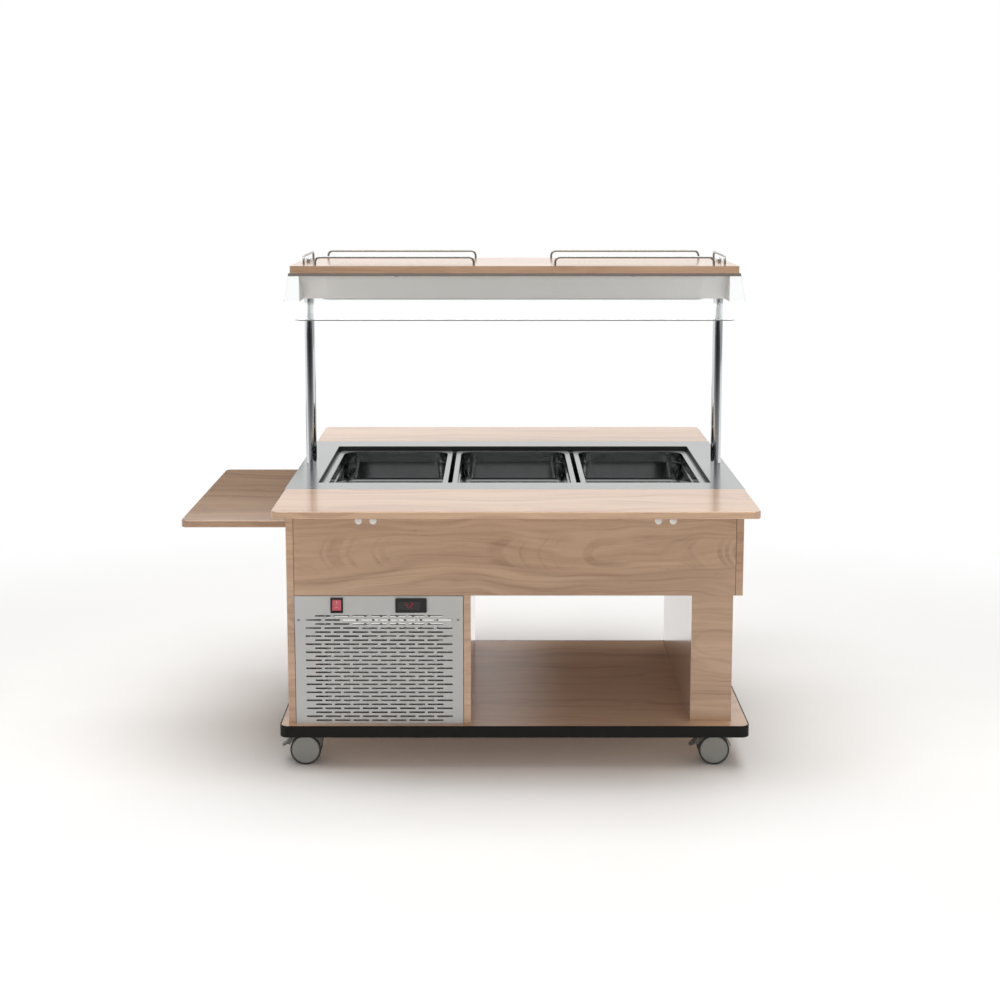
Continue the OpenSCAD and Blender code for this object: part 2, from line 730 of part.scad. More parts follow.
module canopy_board() in_frame() color(WOOD) difference() {
    translate([0, 0, board_z]) linear_extrude(board_t) rounded_rect(board_l, board_d, 6);
    for (s = [-1, 1]) translate([s * post_x, 0, board_z - 1]) {
        cylinder(r = rod_hole_r, h = board_t + 2);
        translate([0, 0, board_t + 1 - nut_sink]) cylinder(r = nut_r + 0.4, h = nut_sink + 1);
    }
    at_long_rails() rail_holes(long_rail_l);
    at_end_rails() rail_holes(end_rail_l);
}

// Sheet trough between two square end plates, with a window in its underside
module light_housing() in_frame() color([0.71, 0.69, 0.68]) {
    slope = (housing_top_d - housing_low_d) / 2 / housing_h;
    wall = housing_wall * sqrt(1 + slope * slope);
    low = housing_low_d / 2 - wall + housing_wall * slope;
    top = housing_top_d / 2 - wall - housing_wall * slope;
    difference() {
        along_x(2 * housing_half) polygon([
            [-housing_top_d / 2, board_z], [housing_top_d / 2, board_z],
            [housing_low_d / 2, housing_z], [-housing_low_d / 2, housing_z]]);
        along_x(2 * (housing_half - housing_wall)) polygon([
            [-top, board_z - housing_wall], [top, board_z - housing_wall],
            [low, housing_z + housing_wall], [-low, housing_z + housing_wall]]);
        translate([-window_l / 2, -window_d / 2, housing_z - 1]) cube([window_l, window_d, housing_wall + 2]);
        for (s = [-1, 1])
            translate([s * post_x, 0, housing_z - 1]) cylinder(r = rod_hole_r, h = housing_h + 2);
    }
    for (s = [-1, 1])
        translate([s * (housing_half - housing_wall / 2), 0, (board_z + housing_z) / 2])
            cube([housing_wall, housing_top_d, housing_h], center = true);
}

module light_diffuser() in_frame() color([0.95, 0.95, 0.93])
    translate([0, 0, housing_z + housing_wall + 1.5]) cube([window_l + 14, window_d + 14, 3], center = true);

// Bent clear sheet: a flange under the board, then a slope with rounded lower corners
module guard() {
    slope = atan2(guard_drop, guard_reach);
    run = norm([guard_drop, guard_reach]);
    edge = board_d / 2;
    intersection() {
        along_x(2 * guard_half) polygon([
            [-housing_top_d / 2 - 2.5, board_z], [-edge, board_z],
            [-edge - guard_reach, board_z - guard_drop],
            [-edge - guard_reach + guard_t * sin(slope), board_z - guard_drop - guard_t * cos(slope)],
            [-edge + guard_t * tan(slope / 2), board_z - guard_t],
            [-housing_top_d / 2 - 2.5, board_z - guard_t]]);
        translate([0, -edge, board_z]) rotate([slope, 0, 0]) translate([0, 0, -60]) linear_extrude(120)
            union() {
                translate([-guard_half, -run + guard_r]) square([2 * guard_half, run - guard_r + 80]);
                translate([-guard_half + guard_r, -run]) square([2 * (guard_half - guard_r), guard_r + 1]);
                for (s = [-1, 1]) translate([s * (guard_half - guard_r), -run + guard_r]) circle(guard_r);
            }
    }
}

module front_guard() in_frame() color([0.85, 0.9, 0.92, 0.35]) guard();
module rear_guard() in_frame() color([0.85, 0.9, 0.92, 0.35]) mirror([0, 1, 0]) guard();

// Wire rail along X, with a leg at each end that is let into the board
module rail(l) {
    r = wire_d / 2;
    c = l / 2 - r;
    top = rail_h - r;
    translate([-c + rail_bend, 0, top]) rotate([0, 90, 0]) cylinder(r = r, h = 2 * (c - rail_bend));
    for (s = [-1, 1]) {
        translate([s * c, 0, -rail_foot]) cylinder(r = r, h = rail_foot + top - rail_bend);
        translate([s * (c - rail_bend), 0, top - rail_bend]) rotate([90, 0, s > 0 ? 0 : 180])
            rotate_extrude(angle = 90) translate([rail_bend, 0]) circle(r);
    }
}

module rail_holes(l) for (s = [-1, 1]) translate([s * (l - wire_d) / 2, 0, -rail_foot])
    cylinder(r = wire_d / 2 + post_clear, h = rail_foot + 1);

module at_long_rails() for (sx = [-1, 1], sy = [-1, 1])
    translate([sx * (post_x - 33 - long_rail_l / 2), sy * (board_d / 2 - rail_inset), canopy_z]) children();
module at_end_rails() for (s = [-1, 1])
    translate([s * post_x, 0, canopy_z]) rotate([0, 0, 90]) children();

module gallery_rails() in_frame() color(CHROME) {
    at_long_rails() rail(long_rail_l);
    at_end_rails() rail(end_rail_l);
}

// ---- Trays and side shelf ----

// Board behind y = 0 that reaches to y = -d, with rounded free corners and edges; top at z = 0
module leaf(l, d) intersection() {
    translate([0, 0, -tray_t]) linear_extrude(tray_t) union() {
        translate([-l / 2, -d + tray_r]) square([l, d - tray_r]);
        translate([-l / 2 + tray_r, -d]) square([l - 2 * tray_r, tray_r + 1]);
        for (s = [-1, 1]) translate([s * (l / 2 - tray_r), -d + tray_r]) circle(tray_r);
    }
    along_x(l + 2) translate([-d / 2 + edge_r, -tray_t / 2]) rounded_rect(d + 2 * edge_r, tray_t, edge_r);
    translate([0, -d / 2, -tray_t / 2]) along_y(d + 2) rounded_rect(l, tray_t, edge_r);
}

// Where the front tray, rear tray and side shelf meet the body: the face at y = 0, outwards -y
module at_front() translate([0, -half_d, 0]) children();
module at_rear() rotate([0, 0, 180]) translate([0, -half_d, 0]) children();
module at_left() translate([-half_l, 0, 0]) rotate([0, 0, -90]) children();

module front_tray() in_frame() color(WOOD) at_front() translate([0, -seam, top_z]) leaf(body_l, tray_d);
module rear_tray() in_frame() color(WOOD) at_rear() translate([0, -seam, top_z]) leaf(body_l, tray_d);
module side_shelf() in_frame() color(WOOD) at_left() translate([0, -seam, shelf_z]) leaf(shelf_d, shelf_w);

// Plug in a tube's end: a shank in the bore and a domed head over the end, outwards -y
module tube_plug() rotate([90, 0, 0]) rotate_extrude() {
    translate([0, -plug_l]) square([arm_d / 2 - 1.5 - post_clear, plug_l + post_clear + 1]);
    translate([0, post_clear]) square([arm_d / 2, 1]);
    translate([0, post_clear + 1]) intersection() {
        translate([0, plug_rise - plug_dome_r]) circle(plug_dome_r);
        square([arm_d / 2, plug_rise]);
    }
}

// Two tubes welded under a plate and pivoted at y = -pin_out; reach is the depth of the board
module arm(reach) {
    end_y = -seam - reach + arm_setback;
    plate_y = -pin_out - 18;
    difference() {
        union() {
            for (s = [-1, 1]) translate([s * arm_pitch / 2, -pin_out + arm_heel, 0]) rotate([90, 0, 0])
                cylinder(d = arm_d, h = -pin_out + arm_heel - end_y);
            translate([-(arm_pitch + arm_d) / 2, end_y + 20, arm_d / 2 - arm_weld])
                cube([arm_pitch + arm_d, plate_y - end_y - 20, arm_plate_t]);
        }
        for (s = [-1, 1]) translate([s * arm_pitch / 2, -pin_out - 12, 0]) rotate([90, 0, 0])
            cylinder(d = arm_d - 3, h = -pin_out - 12 - end_y + 1);
        translate([0, -pin_out, 0]) rotate([0, 90, 0])
            cylinder(r = pin_r + running, h = arm_pitch + arm_d + 2, center = true);
    }
    for (s = [-1, 1]) translate([s * arm_pitch / 2, end_y, 0]) tube_plug();
}

module front_tray_arms() in_frame() color(CHROME) at_front()
    for (s = [-1, 1]) translate([s * arm_x, 0, tray_pin_z]) arm(tray_d);
module rear_tray_arms() in_frame() color(CHROME) at_rear()
    for (s = [-1, 1]) translate([s * arm_x, 0, tray_pin_z]) arm(tray_d);
module side_shelf_arms() in_frame() color(CHROME) at_left()
    for (s = [-1, 1]) translate([s * shelf_arm_y, 0, shelf_pin_z]) arm(shelf_w);

// Back plate on the body, a lug between the two tubes and the pin through it
module bracket() {
    wide = arm_pitch + arm_d + 10;
    nose = arm_d / 2;
    translate([-wide / 2, -bracket_t, -nose - 9]) cube([wide, bracket_t, 2 * nose + 9]);
    translate([-lug_w / 2, -pin_out, -nose]) cube([lug_w, pin_out - bracket_t + 1, 2 * nose]);
    translate([0, -pin_out, 0]) rotate([0, 90, 0]) cylinder(r = nose, h = lug_w, center = true);
    translate([0, -pin_out, 0]) rotate([0, 90, 0])
        cylinder(r = pin_r, h = arm_pitch + arm_d + 4, center = true);
}

module hinge_brackets() in_frame() color([0.5, 0.51, 0.53]) {
    at_front() for (s = [-1, 1]) translate([s * arm_x, 0, tray_pin_z]) bracket();
    at_rear() for (s = [-1, 1]) translate([s * arm_x, 0, tray_pin_z]) bracket();
    at_left() for (s = [-1, 1]) translate([s * shelf_arm_y, 0, shelf_pin_z]) bracket();
}

// ---- Castors ----

module at_castor(sx, sy) in_frame() translate([sx * castor_x, sy * castor_y, 0]) children();

// Plate under the deck with its bolts and the kingpin
module castor_plates() color([0.7, 0.71, 0.72]) for (sx = [-1, 1], sy = [-1, 1]) at_castor(sx, sy) {
    translate([0, 0, castor_h - castor_plate_t]) linear_extrude(castor_plate_t) rounded_rect(60, 60, 6);
    translate([0, 0, wheel_d - 6]) cylinder(r = king_r, h = castor_h - castor_plate_t - wheel_d + 7);
    for (bx = [-22, 22], by = [-22, 22])
        translate([bx, by, castor_h - castor_plate_t - 2]) cylinder(r = 5, h = 3);
}

// Part of a ring about the wheel axle, from angle a0 to angle a1
module ring_sector(r0, r1, a0, a1) translate([-trail, wheel_r]) difference() {
    intersection() {
        circle(r1);
        polygon(concat([[0, 0]], [for (i = [0:4]) let (a = a0 + (a1 - a0) * i / 4)
                                  [2 * r1 * cos(a), 2 * r1 * sin(a)]]));
    }
    circle(r0);
}

// Swivelling hood: head, web between the wheels, mudguard and the ears of the pedal
module castor_hood(sx, sy) color([0.4, 0.4, 0.39]) at_castor(sx, sy) {
    difference() {
        union() {
            translate([0, 0, head_z0]) cylinder(r = head_r, h = head_z1 - head_z0);
            along_y(web_t) translate([-trail, wheel_r]) circle(16);
            along_y(web_t) polygon([[-trail - 16, wheel_r], [-trail + 16, wheel_r],
                                    [head_r - 4, head_z0 + 1], [-head_r, head_z0 + 1]]);
            along_y(hood_w) ring_sector(hood_r, hood_r + hood_t, 15, 150);
            for (s = [-1, 1]) translate([0, s * 19, 0])
                along_y(4) ring_sector(hood_r, hood_r + 10, 142, pedal_angle + 7);
        }
        translate([-trail, 0, wheel_r]) rotate([90, 0, 0])
            cylinder(r = axle_r + running, h = web_t + 2, center = true);
        translate([0, 0, wheel_d - 8]) cylinder(r = king_r + running, h = castor_h - wheel_d + 8);
    }
    translate([-trail + pedal_reach * cos(pedal_angle), 0, wheel_r + pedal_reach * sin(pedal_angle)])
        rotate([90, 0, 0]) cylinder(r = 2, h = 36, center = true);
}

module castor_front_left_hood() castor_hood(-1, -1);
module castor_front_right_hood() castor_hood(1, -1);
module castor_rear_left_hood() castor_hood(-1, 1);
module castor_rear_right_hood() castor_hood(1, 1);

// Two wheels with a flat disc inside the tread ring, joined by their axle
module castor_wheels(sx, sy) color(GREY) at_castor(sx, sy) translate([-trail, 0, wheel_r]) {
    tread = 2;
    ring = 3.5;
    rotate([90, 0, 0]) cylinder(r = axle_r, h = web_t + 2 * hub_gap + 2, center = true);
    for (s = [0, 180]) rotate([90, 0, s]) translate([0, 0, web_t / 2 + hub_gap]) rotate_extrude()
        difference() {
            union() {
                square([wheel_r - tread, wheel_w]);
                translate([0, tread]) square([wheel_r, wheel_w - 2 * tread]);
                for (y = [tread, wheel_w - tread]) translate([wheel_r - tread, y]) intersection() {
                    circle(tread);
                    translate([-1, -tread]) square([tread + 1, 2 * tread]);
                }
            }
            translate([0, wheel_w - 1]) square([wheel_r - ring, 2]);
        }
}

module castor_front_left_wheels() castor_wheels(-1, -1);
module castor_front_right_wheels() castor_wheels(1, -1);
module castor_rear_left_wheels() castor_wheels(-1, 1);
module castor_rear_right_wheels() castor_wheels(1, 1);

// Round-nosed brake pedal on a barrel between the ears
module castor_pedal(sx, sy) color([0.42, 0.42, 0.41]) at_castor(sx, sy)
    translate([-trail + pedal_reach * cos(pedal_angle), 0, wheel_r + pedal_reach * sin(pedal_angle)])
        difference() {
            union() {
                rotate([90, 0, 0]) cylinder(r = 4, h = 32, center = true);
                rotate([0, -pedal_tilt, 0]) translate([0, 0, -2.2]) linear_extrude(4.4) union() {
                    translate([-9, -15]) square([9, 30]);
                    translate([-9, 0]) intersection() {
                        circle(15);
                        translate([-15, -15]) square([16, 30]);
                    }
                }
            }
            rotate([90, 0, 0]) cylinder(r = 2 + running, h = 34, center = true);
        }

module castor_front_left_pedal() castor_pedal(-1, -1);
module castor_front_right_pedal() castor_pedal(1, -1);
module castor_rear_left_pedal() castor_pedal(-1, 1);
module castor_rear_right_pedal() castor_pedal(1, 1);

base_deck();
deck_edging();
left_side_panel();
right_end_panel();
front_apron();
rear_apron();
box_floor();
cabinet_partition();
right_leg();
top_frame();
cold_well();
well_floor();
drain_valve();
drain_lever();
pan_left();
pan_middle();
pan_right();
front_grille();
rear_grille();
switch_bezel();
switch_rocker();
controller_case();
controller_display();
cable_gland();
unit_base();
compressor();
condenser_coil();
fan_shroud();
fan_motor();
fan_blades();
refrigerant_pipes();
left_post();
right_post();
tie_rods();
canopy_board();
light_housing();
light_diffuser();
front_guard();
rear_guard();
gallery_rails();
front_tray();
rear_tray();
side_shelf();
front_tray_arms();
rear_tray_arms();
side_shelf_arms();
hinge_brackets();
castor_plates();
castor_front_left_hood();
castor_front_right_hood();
castor_rear_left_hood();
castor_rear_right_hood();
castor_front_left_wheels();
castor_front_right_wheels();
castor_rear_left_wheels();
castor_rear_right_wheels();
castor_front_left_pedal();
castor_front_right_pedal();
castor_rear_left_pedal();
castor_rear_right_pedal();
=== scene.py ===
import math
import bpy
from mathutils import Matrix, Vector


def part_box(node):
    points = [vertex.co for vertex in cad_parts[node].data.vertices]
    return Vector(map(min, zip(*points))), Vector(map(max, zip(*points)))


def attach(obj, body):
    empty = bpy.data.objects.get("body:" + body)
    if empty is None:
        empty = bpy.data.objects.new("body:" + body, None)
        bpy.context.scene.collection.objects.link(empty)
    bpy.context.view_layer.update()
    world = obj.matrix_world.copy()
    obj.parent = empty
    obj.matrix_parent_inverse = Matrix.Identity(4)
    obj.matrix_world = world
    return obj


bl_info = {
    "name": "Mobile salad bar",
    "version": (1, 0, 0),
    "blender": (4, 5, 0),
    "location": "3D View > Sidebar > Salad bar",
    "description": "Finishes, small fittings and studio of a mobile refrigerated salad bar",
    "category": "Object",
}

import bmesh
import bpy
from bpy.props import FloatProperty, FloatVectorProperty, PointerProperty

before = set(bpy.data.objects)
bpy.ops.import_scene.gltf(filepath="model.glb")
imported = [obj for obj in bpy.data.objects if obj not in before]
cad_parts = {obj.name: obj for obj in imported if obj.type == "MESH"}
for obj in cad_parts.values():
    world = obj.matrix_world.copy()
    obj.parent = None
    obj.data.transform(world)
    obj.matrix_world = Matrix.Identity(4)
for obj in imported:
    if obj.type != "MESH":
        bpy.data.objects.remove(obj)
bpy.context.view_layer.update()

# Metres, read off the photograph. What a CAD piece settles is worked out from its box.
PRINT_REPEAT = 0.486  # from one figure of the printed wood to the next
SEAM_LINE = 0.0022  # dark joint at each end of an apron
OPENING_HALF = (0.512, 0.279)  # half the pans' opening in length and depth, with its walls
RECESS_LEVEL = 0.7375  # just under the steel top, below which the opening's walls carry a dark painted shade
RIM_LEVEL = 0.7255  # just under the pans' tops, where their satin rims end
HOUSING_CAPS = 0.495  # from the light housing's middle to its paler ends
PLUG_LENGTH = 0.0036  # what shows of a plug in a tube's end
GUARD_CUT = 0.0028  # height of a guard's cut lower edge
GUARD_SHADOW_BAND = 0.0068  # height of the painted shadow and reflection of the board's underside at a guard's upper bend
GUARD_SHEET = 0.004  # thickness of a guard
GUARD_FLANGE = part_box("front_guard")[1][2] - GUARD_SHEET  # underside, where the nuts sit
NUT_PLACES = (-0.183, 0.431)  # along the board
NUT_ROW = 0.186  # from the board's middle line
SCREW_LEVEL = 0.398  # over the floor
SCREW_INSETS = (0.0096, 0.0126)  # from a grille's left and right edges
FIGURES_INSET = 0.019  # from the display's left edge to its first figure
FIGURES_RISE = 0.0013  # of the figures over the display's middle
INK = 0.0001  # how far the figures stand out of the display

# The switch's marks lie on the two faces of its rocker: Y, Z and the face's lean in degrees.
MARK_ON = (-0.3582, 0.4445, 2.3)
MARK_OFF = (-0.3604, 0.4302, 15.7)

# The photograph's camera, with its tilt in degrees from straight down.
CAMERA_PLACE = (0.0854, -4.334, 1.544)
CAMERA_TILT = 82.21
CAMERA_SHIFT = -0.113

# Each board's grain: a painted shade that makes it darker, the level of its figures' middle line,
# where along the print it was cut, and a painted light that makes it brighter; the two paint the
# light and shade that falls on each board.
BOARDS = (
    ("front_apron", 0.0, 0.573, 0.4405, 1.02),
    ("rear_apron", 0.02, 0.6, 0.2, 1.0),
    ("left_side_panel", -0.1, 0.41, 0.1, 1.1),
    ("right_end_panel", 0.0, 0.58, 0.3, 1.02),
    ("cabinet_partition", -0.1, 0.3, 0.25, 1.12),
    ("right_leg", 0.0, 0.33, 0.15, 1.0),
    ("base_deck", -0.2, 0.06, 0.0, 1.35),
    ("box_floor", 0.0, 0.0, 0.0, 1.0),
    ("canopy_board", 0.0, 9.0, 0.33, 0.97),
    ("front_tray", -0.1, 0.0, 0.0, 1.08),
    ("rear_tray", -0.2, 0.0, 0.2, 1.15),
    ("side_shelf", 0.15, 0.0, 0.0, 0.95),
)

# Bars of a lit figure: place across and up in shares of its width and half height, and whether
# the bar stands upright.
SEGMENTS = {
    "top": (0.5, 1.0, False),
    "middle": (0.5, 0.0, False),
    "foot": (0.5, -1.0, False),
    "upper_left": (0.0, 0.5, True),
    "upper_right": (1.0, 0.5, True),
    "lower_left": (0.0, -0.5, True),
    "lower_right": (1.0, -0.5, True),
}

# The bars of the two figures that the display shows.
FOUR = ("upper_left", "middle", "upper_right", "lower_right")
TWO = ("top", "upper_right", "middle", "lower_left", "foot")

# Planes that only gloss sees, which give the steel and the wood something to mirror: size,
# place and turn in degrees; then the axis along which the plane's tone changes, between which
# places, and from which tone to which.
LYING, UPRIGHT, SIDEWAYS = (0.0, 0.0, 0.0), (90.0, 0.0, 0.0), (90.0, 0.0, 90.0)
FLAGS = (
    ("ceiling", (7.0, 5.0), (0.0, -0.2, 3.6), LYING, 1, (0.0, 0.2), (0.035, 1.0)),
    ("end_wall", (18.0, 3.4), (2.0, -9.0, 1.7), UPRIGHT, 0, (3.0, 9.0), (0.03, 0.4)),
    ("right_wall", (13.0, 3.4), (9.0, -3.0, 1.7), SIDEWAYS, 1, (-99.0, 99.0), (0.45, 0.45)),
    ("carpet", (22.0, 6.8), (0.0, -5.6, 0.004), LYING, 1, (-2.4, -8.0), (0.4, 0.05)),
    ("bay", (1.0, 0.55), (0.373, 1.2, 0.52), UPRIGHT, 0, (0.03, 0.35), (0.64, 0.03)),
    ("shelf_side", (0.46, 0.17), (-0.74, 0.43, 0.745), UPRIGHT, 0, (-9.0, 9.0), (0.1, 0.1)),
    ("rear_floor", (3.0, 1.8), (0.3, 1.5, 0.004), LYING, 0, (-9.0, 9.0), (1.25, 1.25)),
)


def shade(red, green, blue):
    """An 8-bit screen colour as scene-linear numbers."""
    return tuple(
        c / 255 / 12.92 if c <= 10.31 else ((c / 255 + 0.055) / 1.055) ** 2.4
        for c in (red, green, blue)
    )


def colour(name, description, red, green, blue):
    """A colour setting with an 8-bit default."""
    return FloatVectorProperty(
        name=name,
        description=description,
        subtype="COLOR",
        size=3,
        min=0.0,
        max=1.0,
        default=shade(red, green, blue),
    )


def length(name, description, default, low, high):
    """A size setting in metres."""
    return FloatProperty(
        name=name,
        description=description,
        default=default,
        min=low,
        max=high,
        unit="LENGTH",
        subtype="DISTANCE",
    )


def share(name, description, default):
    """A setting from 0 to 1."""
    return FloatProperty(
        name=name,
        description=description,
        default=default,
        min=0.0,
        max=1.0,
        subtype="FACTOR",
    )


def rgb(setting):
    """A colour setting as three plain numbers."""
    return tuple(setting)


def toned(tint, factor, lift=0.0):
    """A colour made darker or paler, white at most."""
    return tuple(min(1.0, c * factor + lift) for c in tint)


# ---------------------------------------------------------------- settings


class BarFinishes(bpy.types.PropertyGroup):
    """Colours and gloss of the salad bar"""

    wood_light: colour("Wood, light", "Pale figure of the laminate", 188, 156, 128)
    wood_dark: colour("Wood, dark", "Grain lines of the laminate", 134, 101, 76)
    edging: colour("Edging", "Band round the base deck", 22, 22, 20)
    steel: colour("Steel", "Brushed steel top and well", 170, 173, 171)
    # Darker than the top's steel: a painted shade for the pans' dark insides.
    pan_steel: colour("Pan steel", "Polished food pans", 143, 145, 145)
    chrome: colour("Chrome", "Posts and tubes", 214, 217, 220)
    rail: colour("Rail", "Satin wire of the gallery rails", 150, 150, 148)
    grille: colour("Grille", "Painted sheet of the grilles", 184, 185, 184)
    housing: colour("Light housing", "Painted sheet of the light housing", 219, 219, 217)
    castor: colour("Castor grey", "Discs of the castor wheels", 136, 136, 131)
    hood: colour("Castor hood", "Hoods and brake pedals of the castors", 92, 90, 86)
    tread: colour("Tread", "Running surface of the castor wheels", 34, 34, 33)
    rocker: colour("Rocker", "Key of the switch", 205, 92, 104)
    wood_gloss: share("Wood roughness", "Roughness of the laminate's skin", 0.2)
    wood_coat: share("Wood coat", "Clear skin over the printed wood", 0.35)
    steel_gloss: share("Steel roughness", "Roughness of the brushed steel", 0.17)


class BarFittings(bpy.types.PropertyGroup):
    """Sizes and colours of the small pieces"""

    screw_r: length("Screw radius", "Radius of the grille screws' heads", 0.0032, 0.001, 0.01)
    cap_r: length("Cap nut radius", "Radius of the nuts that hold the guards", 0.0065, 0.003, 0.02)
    figure_h: length("Figure height", "Height of the figures on the display", 0.0148, 0.005, 0.02)
    glow: colour("Figure colour", "Lit segments of the display", 150, 34, 40)
    mark: colour("Mark colour", "Printed marks on the switch", 240, 214, 214)


class BarStage(bpy.types.PropertyGroup):
    """Light, floor and camera of the studio"""

    floor: colour("Floor", "Studio floor", 250, 249, 247)
    ambient: FloatProperty(
        name="Ambient",
        description="Strength of the surrounding light on matt surfaces",
        default=0.4,
        min=0.0,
        max=2.0,
    )
    key: FloatProperty(
        name="Key light",
        description="Power of the ceiling light",
        default=86.0,
        min=0.0,
        max=2000.0,
        unit="POWER",
    )
    fill: FloatProperty(
        name="Front fill",
        description="Power of the low light in front",
        default=27.0,
        min=0.0,
        max=2000.0,
        unit="POWER",
    )
    lens: FloatProperty(
        name="Lens",
        description="Focal length of the camera on a 36 mm sensor",
        default=57.6,
        min=20.0,
        max=200.0,
        unit="CAMERA",
    )


# ---------------------------------------------------------------- shader graphs


class Wire:
    """One output of a shader graph. Sums with it add Math nodes."""

    def __init__(self, graph, socket):
        self.graph, self.socket = graph, socket

    def maths(self, operation, *others, flipped=False):
        """A Math node on this wire and the others."""
        terms = [self, *others]
        if flipped:
            terms.reverse()
        return self.graph.add("ShaderNodeMath", {"operation": operation}, dict(enumerate(terms)))

    def __add__(self, other):
        return self.maths("ADD", other)

    def __sub__(self, other):
        return self.maths("SUBTRACT", other)

    def __mul__(self, other):
        return self.maths("MULTIPLY", other)

    def __rsub__(self, other):
        return self.maths("SUBTRACT", other, flipped=True)

    __radd__, __rmul__ = __add__, __mul__

    def __abs__(self):
        return self.maths("ABSOLUTE")

    def over(self, limit):
        """1 above the limit, 0 below."""
        return self.maths("GREATER_THAN", limit)

    def under(self, limit):
        """1 below the limit, 0 above."""
        return self.maths("LESS_THAN", limit)

    def power(self, exponent):
        return self.maths("POWER", exponent)

    def most(self, other):
        return self.maths("MAXIMUM", other)

    def fade(self, start, end, low=0.0, high=1.0):
        """From low at start to high at end, eased."""
        return self.graph.add(
            "ShaderNodeMapRange",
            {"interpolation_type": "SMOOTHSTEP", "clamp": True},
            {0: self, 1: start, 2: end, 3: low, 4: high},
        )


class Graph:
    """The nodes of one material or world."""

    def __init__(self, tree):
        self.tree = tree
        tree.nodes.clear()

    def add(self, kind, settings=None, inputs=None, out=0):
        """A node with its settings and its sockets' values or wires; gives one of its outputs."""
        node = self.tree.nodes.new(kind)
        for key, value in (settings or {}).items():
            setattr(node, key, value)
        for key, value in (inputs or {}).items():
            if isinstance(value, Wire):
                self.tree.links.new(value.socket, node.inputs[key])
            else:
                node.inputs[key].default_value = value
        return Wire(self, node.outputs[out]) if len(node.outputs) else None

    def place(self, stretch=(1.0, 1.0, 1.0)):
        """Object coordinates, with a pattern drawn out along each axis where stretch is small."""
        raw = self.add("ShaderNodeTexCoord", out="Object")
        return self.add("ShaderNodeMapping", {"vector_type": "POINT"}, {0: raw, 3: stretch})

    def split(self, vector):
        """The three parts of a vector."""
        parts = self.add("ShaderNodeSeparateXYZ", None, {0: vector}).socket.node.outputs
        return [Wire(self, part) for part in parts]

    def vector(self, x, y, z):
        """A vector from three numbers or wires."""
        return self.add("ShaderNodeCombineXYZ", None, {0: x, 1: y, 2: z})

    def noise(self, vector, scale, detail=2.0, roughness=0.5):
        """A cloudy pattern from 0 to 1."""
        return self.add(
            "ShaderNodeTexNoise",
            {"noise_dimensions": "3D"},
            {"Vector": vector, "Scale": scale, "Detail": detail, "Roughness": roughness},
        )

    def tint(self, factor, low, high):
        """A colour between two, by a number or a wire."""
        ends = [(*c, 1.0) if isinstance(c, tuple) else c for c in (low, high)]
        return self.add(
            "ShaderNodeMix", {"data_type": "RGBA"}, {0: factor, 6: ends[0], 7: ends[1]}, out=2
        )

    def bump(self, height, depth):
        """Normals of a relief, with its depth in metres."""
        return self.add("ShaderNodeBump", None, {"Height": height, "Distance": depth})

    def seen_rays(self):
        """1 for the eye, in gloss and through clear sheet; 0 where only light falls."""
        camera, gloss, clear = (
            self.add("ShaderNodeLightPath", out=name)
            for name in ("Is Camera Ray", "Is Glossy Ray", "Is Transmission Ray")
        )
        return camera.most(gloss).most(clear)

    def lit(self, tint):
        """A shader that shines in a colour."""
        return self.add("ShaderNodeEmission", None, {"Color": tint, "Strength": 1.0})

    def principled(self, **inputs):
        """A Principled shader. Its sockets' names have underscores for spaces."""
        sockets = {
            name.replace("_", " "): (*value, 1.0) if isinstance(value, tuple) else value
            for name, value in inputs.items()
        }
        return self.add("ShaderNodeBsdfPrincipled", None, sockets)

    def mixed(self, factor, below, above):
        """A shader between two."""
        return self.add("ShaderNodeMixShader", None, {0: factor, 1: below, 2: above})

    def surface(self, shader):
        """The shader becomes the material's own."""
        self.add("ShaderNodeOutputMaterial", None, {"Surface": shader})

    def skin(self, **inputs):
        """One Principled shader is the whole material."""
        self.surface(self.principled(**inputs))


def finish(name):
    """An empty material and its graph."""
    material = bpy.data.materials.new(name)
    material.use_nodes = True
    return material, Graph(material.node_tree)


def dress(node, material):
    """The CAD node takes the material on every slot."""
    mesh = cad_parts[node].data
    mesh.materials.clear()
    mesh.materials.append(material)


# ---------------------------------------------------------------- finishes


